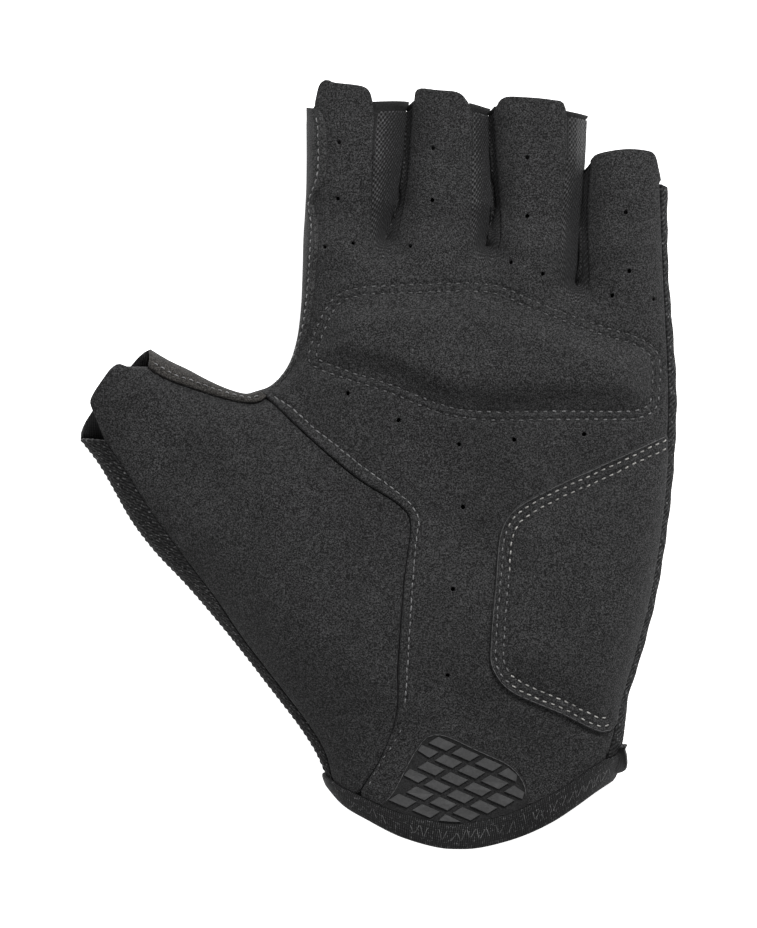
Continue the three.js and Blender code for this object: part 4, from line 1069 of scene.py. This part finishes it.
def add_hem(name, edge_table, seam_table, material, column):
    """A hem with a furrow for its stitches at a share of its columns."""
    edges, seams = paired(edge_table, seam_table, BAND_STEP)
    places, normals = band_grid(edges, seams, HEM_OVER, HEM_UNDER)
    _, length = grid_lengths(places)
    furrow = np.abs(length - column / HEM_FACE * length[:, HEM_OVER, None])
    off = hem_profile() + groove(furrow, 0.3, 0.5)
    return add_band(name, places, normals, HEM_WALL, material, off, flip=True), seams, off, places, normals


def on_grid(places, normals, off):
    """Gives places on a grid for (row share, column share) pairs."""
    def place(shares):
        rows, columns, _ = places.shape
        r = np.clip(shares[:, 0] * (rows - 1), 0, rows - 1.001)
        c = np.clip(shares[:, 1] * (columns - 1), 0, columns - 1.001)
        i, j = r.astype(int), c.astype(int)
        f, g = (r - i)[:, None], (c - j)[:, None]
        outer = places + normals * off[..., None]
        spot, normal = (
            (a[i, j] * (1 - f) + a[i + 1, j] * f) * (1 - g)
            + (a[i, j + 1] * (1 - f) + a[i + 1, j + 1] * f) * g
            for a in (outer, normals))
        return spot, unit(normal)
    return place


def grid_stitches(first, last, column_share, length, pitch, share):
    """Starts and ends, as grid shares, of stitches along one column between two row shares."""
    count = round(length * (last - first) / pitch)
    middle = first + (np.arange(count) + 0.5) / count * (last - first)
    half = (last - first) / count * share / 2 * chance.normal(1, 0.1, count)
    column = column_share + chance.normal(0, 0.004, count)
    return np.column_stack([middle - half, column]), np.column_stack([middle + half, column])


for name, node_name, edge_table, seam_table, material, column in (
    ("index_hem", "index_side_strip", INDEX_SIDE, INDEX_SEAM, hem_suede, 0.14),
    ("thumb_binding", "thumb_edge_strip", THUMB_TOP, THUMB_TOP_SEAM, binding_suede, 0.11),
):
    hem, seams, off, places, normals = add_hem(name, edge_table, seam_table, material, column)
    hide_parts(node_name)
    starts, ends = grid_stitches(0.03, 0.97, column, line_length(seams), 2.0, 0.6)
    hem_stitches = add_threads(
        f"{name}_stitches", starts, ends, on_grid(places, normals, off), thread_grey, radius=0.18)


# Mesh gussets between the fingers, and the back's collars that show beyond their fronts.

GUSSET_OVER = 12
GUSSET_UNDER = 6
COLLAR_POINTS = 26
COLLAR_OVER = 10
COLLAR_UNDER = 6
# How far the two collars of each slit reach beyond the finger fronts.
COLLARS = {"index_middle": (2.6, 1.4), "middle_ring": (1.9, 1.0), "ring_little": (1.2, 0.5)}


def add_collar(name, slit, leather, reach, flip):
    """The dark inside of the back, a little longer than the mesh gusset in front of it."""
    lines = [
        spaced(stretch_ends(line[:COLLAR_POINTS], reach, 0), COLLAR_POINTS) for line in (slit, leather)]
    places, normals = band_grid(*lines, COLLAR_OVER, COLLAR_UNDER)
    length, _ = grid_lengths(places)
    in_front = 0.7 * ease(1.2 - length / reach)
    columns = np.arange(COLLAR_OVER + COLLAR_UNDER + 1)
    closing = 0.7 * bell((columns - COLLAR_OVER) / 2.2) * ease(1.9 - length / reach)
    piece = add_band(name, places, normals, 0.6, tread_base, in_front + closing - 0.8, flip=flip)


for name, rows in VALLEYS.items():
    leather, slit = valleys[name]
    leather = leather + unit(leather - slit) * 0.5
    places, normals = band_grid(slit, leather, GUSSET_OVER, GUSSET_UNDER)
    _, length = grid_lengths(places)
    columns = np.arange(GUSSET_OVER + GUSSET_UNDER + 1)
    closing = bell((columns - GUSSET_OVER - 0.5) / 2.6)
    sunk = (1 - closing) * bell(length / 1.5)
    off = 0.85 * closing - 0.4 - sunk - 0.1 * np.cos(length * 2.1)
    gusset = add_band(f"gusset_{name}", places, normals, MESH_WALL, gusset_mesh, off)
    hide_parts(f"fourchette_{name}")
    left, right = COLLARS[name]
    add_collar(f"collar_{name}_1", slit, leather, left, False)
    add_collar(f"collar_{name}_2", slit[::-1], leather[::-1], right, True)


# Back of the glove.

UNDER_CUFF = 1.2
BACK_CLEAR = BACK_INSET + 0.15


def under_line(edges, seams, inset):
    """The wall line moved inwards, where the back's flat part ends."""
    return edges + unit(seams - edges) * inset


def back_front(start, along, end):
    """The back's front edge at one finger."""
    middle = np.array([(start[0] + end[0]) / 2, plan([(0, along)])[0, 1]])
    return smooth([start, middle, end], BACK_STEP)[1:-1]


im, mr, rl = (
    under_line(*valley_lines(VALLEYS[name], 48)[::-1], BACK_CLEAR)
    for name in ("index_middle", "middle_ring", "ring_little"))
little_under, thumb_under, index_under, top_under = (
    under_line(*paired(edge_table, seam_table, BACK_STEP), inset)
    for edge_table, seam_table, inset in (
        (LITTLE_SIDE, LITTLE_SEAM, BACK_INSET), (THUMB_SIDE, THUMB_SIDE_SEAM, BACK_INSET),
        (INDEX_SIDE, INDEX_SEAM, BACK_CLEAR), (THUMB_TOP, THUMB_TOP_SEAM, BACK_CLEAR)))
cuff_back = part_between(cuff_seam, thumb_under[-1, 0] + 1, little_under[-1, 0] - 1)[::2] - (0, UNDER_CUFF)
little_under, thumb_under = (stretch_ends(line, 0, UNDER_CUFF) for line in (little_under, thumb_under))
back_outline = np.vstack([
    little_under[::-1], back_front(little_under[0], BACK_FRONTS["little"], rl[-1]), rl[::-1],
    back_front(rl[0], BACK_FRONTS["ring"], mr[-1]), mr[::-1],
    back_front(mr[0], BACK_FRONTS["middle"], im[-1]), im[::-1],
    back_front(im[0], BACK_FRONTS["index"], index_under[0]), index_under[:-1], top_under,
    smooth(plan(THUMB_BACK_FRONT), BACK_STEP), thumb_under, cuff_back,
])
back = add_panel(
    "back_knit", back_outline, back_knit, even(0), wall=0.9, step=BACK_STEP, side="back", turn=0)
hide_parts("back_panel")


SIDE_STEP = 0.4
SIDE_UNDER = 8
SIDE_TUCK = 3.2


def add_side(name, edge_table, seam_table, shape, over, flip=False):
    """The back's knit where it turns up over one side of the glove, tucked under the cuff."""
    edges, seams = (
        stretch_ends(line, 0, SIDE_TUCK) for line in paired(edge_table, seam_table, SIDE_STEP))
    places, normals = band_grid(edges, seams, over, SIDE_UNDER)
    fade = np.minimum(1, np.arange(over + SIDE_UNDER + 1)[::-1] / SIDE_UNDER)
    off = shape(*grid_lengths(places)) * fade
    piece = add_band(name, places, normals, 0.8, side_knit, off, flip=flip)


def leaning_ribs(u, v):
    """Ribs that run at a slant along the thumb's side and end as teeth at its outline."""
    rib = np.abs(np.sin(math.pi * (v + 0.42 * u) / 0.78))
    return 0.42 * rib ** 0.7 - 0.3 + 0.14 * np.sin(u * 3.7)


def rope_ribs(u, v):
    """Slanted bumps of the overlocked seam along the little finger's side."""
    rib = np.abs(np.sin(math.pi * (u + 1.1 * v) / 1.9))
    return 0.55 * rib ** 0.8 - 0.3 + 0.1 * np.sin(u * 0.7)


add_side("thumb_side_knit", THUMB_SIDE, THUMB_SIDE_SEAM, leaning_ribs, 22, flip=True)
add_side("little_side_knit", LITTLE_SIDE, LITTLE_SEAM, rope_ribs, 14)


# Pads.

knuckle_gel = add_panel(
    "knuckle_gel", side_step(knuckle_line, KNUCKLE_MARGIN, loop=True), gel_skin, even(-LEATHER - 0.15),
    wall=2.2, step=2.0, turn=0)
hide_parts("knuckle_pad")

heel_side = part_between(little_seam, heel_edge[-1, 1] + 0.6, heel_edge[0, 1] - 0.6, axis=1)[::-1]
heel_outline = np.vstack([heel_edge, heel_side])
HEEL_BASE = 0.12
HEEL_WALL = 1.0


def heel_outer(points):
    """The heel pad's face: a turned edge, two furrows and the swell of its filling."""
    border = line_distance(points, heel_edge)
    side = line_distance(points, heel_side)
    swell = 1.35 * ease((border - HEEL_ROW - ROW_GAP) / 8) * ease(side / 8)
    off = HEEL_BASE + HEEL_WALL + swell + 0.16 * bell((border - 0.5) / 0.3)
    for row in heel_rows:
        off += groove(line_distance(points, row), 0.4, 0.5)
    return off - 0.35 * ease(1 - side / 3)


on_heel = standing(heel_outer)
heel = add_panel(
    "heel_pad_leather", heel_outline, heel_suede, heel_outer, base=HEEL_BASE, turn=0.6,
    rows=furrow_rows(heel_rows))
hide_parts("heel_pad")
# A thin line of pale thread along the heel pad's raised edge: a painted highlight.
edge_highlight_line = add_threads(
    "heel_edge_painted_highlight", *stitches_on(side_step(heel_edge, 0.4)[1:-1], 2.2, 0.99, sway=0.0), on_heel,
    thread_dim, radius=0.1, lift=0.03, dip=0.03)
for index, row in enumerate(heel_rows):
    starts, ends = stitches_on(row[is_inside(row, heel_outline)], 2.15, 0.5)
    # Lit and shaded copies of one thread: stitches on the pad's left side take the grey thread as painted
    # shade, those on its slopes take the pale thread as a painted highlight.
    left = shares_of(starts)[0] < 0.545
    for part, chosen, thread in (("side", left, thread_grey), ("painted_lit_slopes", ~left, thread_painted_lit)):
        threads = add_threads(
            f"heel_stitches_{index + 1}_{part}", starts[chosen], ends[chosen], on_heel, thread,
            radius=0.2, lift=0.26)


# Grip patch.

patch_line = smooth(plan(PATCH_TOP), 0.8)
patch_outline = np.vstack([
    patch_line, part_between(cuff_seam, patch_line[0, 0], patch_line[-1, 0])[::-1]])
PATCH_RISE = 0.75
TREAD_ROWS = 7
TREAD_COLUMNS = 5
TREAD_MARGIN = 0.6
TREAD_BEVEL = 0.15
TREAD_RISE = 0.6
TREAD_LENGTH = 5.0
TREAD_WIDTH = 2.4
TREAD_LEAN = 1.6
TREAD_PITCH = (6.5, 3.5)
TREAD_TILT = math.radians(-24)


def patch_outer(points):
    """The patch's face, with a raised rim along its free edge."""
    border = line_distance(points, patch_line)
    return PATCH_RISE - 0.3 * ease((border - 0.55) / 0.4)


on_patch = standing(patch_outer)
patch = add_panel("grip_patch", patch_outline, tread_base, patch_outer, base=0.08, turn=0.3, step=0.7)
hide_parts("tread_patch")


def well_inside(points, outline, margin):
    """Which plan points lie inside an outline and farther than a margin from it."""
    return is_inside(points, outline) & (line_distance(points, closed(outline)) > margin)


def clip_to(block, outline, margin):
    """The block with each corner outside the outline drawn back to its border."""
    heart = block.mean(0)
    moved = []
    for corner in block:
        path = heart + (corner - heart) * np.linspace(1, 0, 30)[:, None]
        moved.append(path[np.argmax(well_inside(path, outline, margin))])
    return np.array(moved)


def add_treads(name, outline, material):
    """Leaning rubber blocks in rows, every second row moved on by half a block."""
    outline = anticlockwise(outline)
    middle = (outline.min(0) + outline.max(0)) / 2
    across = np.array([math.cos(TREAD_TILT), math.sin(TREAD_TILT)])
    along = np.array([-across[1], across[0]])
    corners = np.array([
        across * (side * TREAD_LENGTH + end * TREAD_LEAN) / 2 + along * end * TREAD_WIDTH / 2
        for side, end in ((-1, -1), (1, -1), (1, 1), (-1, 1))])
    count = len(corners)
    base = PATCH_RISE - 0.35
    points, faces = [], []
    for row in range(-TREAD_ROWS, TREAD_ROWS + 1):
        for column in range(-TREAD_COLUMNS, TREAD_COLUMNS + 1):
            shift = (column + 0.5 * (row % 2)) * TREAD_PITCH[0]
            centre = middle + across * shift + along * row * TREAD_PITCH[1]
            block = centre + corners
            if not well_inside(block, outline, 0.8).any():
                continue
            if not well_inside(centre[None], outline, TREAD_MARGIN)[0]:
                continue
            block = clip_to(block, outline, TREAD_MARGIN)
            heart = block.mean(0)
            top = heart + (block - heart) * 0.93
            start = len(points)
            for plane, rise in ((block, 0), (block, TREAD_RISE - TREAD_BEVEL), (top, TREAD_RISE)):
                places, normals = skin(plane)
                points.extend(places + normals * (base + rise))
            for layer in range(2):
                for k in range(count):
                    a, b = start + layer * count + k, start + layer * count + (k + 1) % count
                    faces.append([a, b, b + count, a + count])
            faces.append([start + 2 * count + k for k in range(count)])
            faces.append([start + k for k in reversed(range(count))])
    return add_mesh(name, points, faces, material, smooth_shading=False)


patch_rim = side_step(patch_line, -0.35)[2:-2]
rim = add_threads(
    "patch_rim", *stitches_on(patch_rim, 1.8, 0.99, sway=0.0), on_patch, thread_dim,
    radius=0.09, lift=0.02, dip=0.02)
treads = add_treads("tread_blocks", patch_outline, tread_rubber)


# Cuff.

CUFF_THICK = 0.95
CUFF_COUNT = 150
CUFF_SIDES = 36
ZIGZAG_NODES = 62
cuff_seam_points, cuff_lip_points = (smooth(plan(rows), count=CUFF_COUNT) for rows in (CUFF_SEAM, CUFF_LIP))


def cuff_ring(share):
    """Places and normals round the cuff at a share from its seam to its lip."""
    line = cuff_seam_points + (cuff_lip_points - cuff_seam_points) * share
    inner = line[1:-1]
    over, over_normals = skin(inner)
    under, under_normals = skin(inner[::-1], "back")
    ends = np.column_stack([line[[0, -1]], form_at(line[[0, -1]])[0] * WIDEST])
    places = np.vstack([ends[:1], over, ends[1:], under, ends[:1]])
    normals = np.vstack([[(-1, 0, 0)], over_normals, [(1, 0, 0)], under_normals, [(-1, 0, 0)]])
    for _ in range(6):
        normals[1:-1] = normals[:-2] + normals[1:-1] + normals[2:]
        normals[0] = normals[-1] = normals[0] + normals[1] + normals[-2]
        normals = unit(normals)
    return places, normals


def add_cuff(name, material):
    """The elastic band: one rounded loop of its section after the other, round the wrist."""
    loops = []
    for turn in np.linspace(0, 2 * math.pi, CUFF_SIDES + 1):
        cos, sin = math.cos(turn), math.sin(turn)
        share = 0.49 + 0.51 * math.copysign(abs(cos) ** 0.45, cos)
        off = 0.05 + CUFF_THICK * math.copysign(abs(sin) ** 0.6, sin)
        places, normals = cuff_ring(share)
        crown = 0.1 * math.sin(math.pi * min(1, max(0, share))) if sin > 0 else 0
        loops.append(places + normals * (off + crown))
    grid = np.stack(loops, 1)
    grid[..., 2] = np.maximum(grid[..., 2], 0)
    u, v = grid_lengths(grid)
    rows, columns, _ = grid.shape
    return add_mesh(name, grid.reshape(-1, 3), grid_faces(rows, columns), material, uv=cloth_uv(u, v))


cuff = add_cuff("cuff_elastic_band", cuff_elastic)
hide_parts("cuff_binding")


def on_cuff(shares):
    """Places on the palm side of the cuff for (share along, share from seam to lip) pairs."""
    at = shares[:, 0] * (len(cuff_seam_points) - 1)
    k = np.clip(at.astype(int), 0, len(cuff_seam_points) - 2)
    f = (at - k)[:, None]
    seam_point = cuff_seam_points[k] * (1 - f) + cuff_seam_points[k + 1] * f
    lip_point = cuff_lip_points[k] * (1 - f) + cuff_lip_points[k + 1] * f
    places, normals = skin(seam_point + (lip_point - seam_point) * shares[:, 1:])
    return places + normals * (CUFF_THICK + 0.06), normals


zigzag = np.linspace(0.06, 0.97, ZIGZAG_NODES) + chance.normal(0, 0.0015, ZIGZAG_NODES)
level = np.where(np.arange(ZIGZAG_NODES) % 2, 0.66, 0.24) + chance.normal(0, 0.05, ZIGZAG_NODES)
nodes = np.column_stack([zigzag, level])
# The thread shows less towards the thumb's side.
seen = np.linspace(0.35, 1, ZIGZAG_NODES - 1) > chance.uniform(0, 1, ZIGZAG_NODES - 1)
zigzag_threads = add_threads(
    "cuff_zigzag", nodes[:-1][seen], nodes[1:][seen], on_cuff, thread_dim, radius=0.1, lift=0.04, dip=0.15)


# Folded tab beside the cuff.

# The tab's outline: shares along the cuff's end, and millimetres out from it.
TAB_OUTLINE = [
    (0.12, -3.3), (-0.14, -2.6), (-0.34, 0.4), (-0.37, 1.35), (-0.22, 1.2), (-0.04, 1.95),
    (0.3, 2.8), (0.52, 2.7), (0.78, 0.4), (0.95, -1.2), (0.6, -2.4),
]
TAB_LEVELS = np.linspace(-3.6, 3.9, 21)


def add_tab(name, material):
    """The folded webbing as a stack of outlines that draw in at the top and at the bottom."""
    seam_end, lip_end = plan([CUFF_SEAM[-1]])[0], plan([CUFF_LIP[-1]])[0]
    way = lip_end - seam_end
    length = np.linalg.norm(way)
    way /= length
    out = np.array([-way[1], way[0]])
    height = form_at(seam_end[None])[0][0] * WIDEST
    outline = smooth(
        [seam_end + way * along * length + out * off for along, off in TAB_OUTLINE], 0.4, closed=True)[:-1]
    middle = outline.mean(0)
    grid = []
    for z in TAB_LEVELS:
        swell = math.sqrt(max(0.0, 1 - (abs(z) / 4.0) ** 6))
        ring = middle + (outline - middle) * (0.72 + 0.28 * swell)
        grid.append(np.column_stack([closed(ring), np.full(len(ring) + 1, height + z)]))
    grid = np.stack(grid)
    rows, columns, _ = grid.shape
    u, v = grid_lengths(grid)
    last = (rows - 1) * columns
    ends = [list(range(last, last + columns - 1)), list(range(columns - 2, -1, -1))]
    faces = grid_faces(rows, columns).tolist() + ends
    return add_mesh(name, grid.reshape(-1, 3), faces, material, uv=cloth_uv(v, u))


tab = add_tab("cuff_tab_loop", tab_webbing)
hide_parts("cuff_tab")


# Stage: a white floor under a white sky, with the key light from beyond the fingers.

def area_light(name, place, size, power):
    """A square lamp that looks at the origin."""
    lamp = bpy.data.lights.new(name, "AREA")
    lamp.shape = "RECTANGLE"
    lamp.size = lamp.size_y = size
    lamp.energy = power
    holder = bpy.data.objects.new(name, lamp)
    holder.location = place
    holder.rotation_euler = (-Vector(place)).to_track_quat("-Z", "Y").to_euler()
    bpy.context.scene.collection.objects.link(holder)


FLOOR_HALF = 2.0
FLOOR_LEVEL = -0.0004


def add_floor():
    mesh = bpy.data.meshes.new("floor")
    corners = [
        (x * FLOOR_HALF, y * FLOOR_HALF, FLOOR_LEVEL) for x, y in ((-1, -1), (1, -1), (1, 1), (-1, 1))]
    mesh.from_pydata(corners, [], [(0, 1, 2, 3)])
    white = bpy.data.materials.new("floor_white")
    white.use_nodes = True
    shader = next(n for n in white.node_tree.nodes if n.type == "BSDF_PRINCIPLED")
    shader.inputs["Base Color"].default_value = (0.95, 0.95, 0.95, 1)
    shader.inputs["Roughness"].default_value = 0.9
    shader.inputs["Specular IOR Level"].default_value = 0.0
    shader.inputs["Emission Color"].default_value = (1, 1, 1, 1)
    shader.inputs["Emission Strength"].default_value = 0.8
    mesh.materials.append(white)
    floor = bpy.data.objects.new("floor", mesh)
    bpy.context.scene.collection.objects.link(floor)


add_floor()
area_light("key", (0.4, 0.95, 1.1), 0.45, 31)
area_light("fill", (-0.6, -0.2, 1.5), 1.2, 6)

world = bpy.data.worlds.new("studio")
world.use_nodes = True
background = next(n for n in world.node_tree.nodes if n.type == "BACKGROUND")
background.inputs["Color"].default_value = (1, 1, 1, 1)
background.inputs["Strength"].default_value = 0.4
bpy.context.scene.world = world

CAMERA_ACROSS = -0.000387
CAMERA_HEIGHT = 1.6
SENSOR_HEIGHT = 36
# The photo's height in metres, at the height of the palm's rim.
VIEW_HEIGHT = 0.2394
SUBJECT_HEIGHT = 0.012
camera_data = bpy.data.cameras.new("camera")
camera_data.sensor_fit = "VERTICAL"
camera_data.sensor_height = SENSOR_HEIGHT
camera_data.lens = SENSOR_HEIGHT * (CAMERA_HEIGHT - SUBJECT_HEIGHT) / VIEW_HEIGHT
camera_data.dof.use_dof = False
camera = bpy.data.objects.new("camera", camera_data)
camera.location = (CAMERA_ACROSS, 0.0, CAMERA_HEIGHT)
camera.rotation_euler = (0, 0, 0)
bpy.context.scene.collection.objects.link(camera)
bpy.context.scene.camera = camera
bpy.context.scene.view_settings.view_transform = "Standard"

bpy.context.view_layer.update()
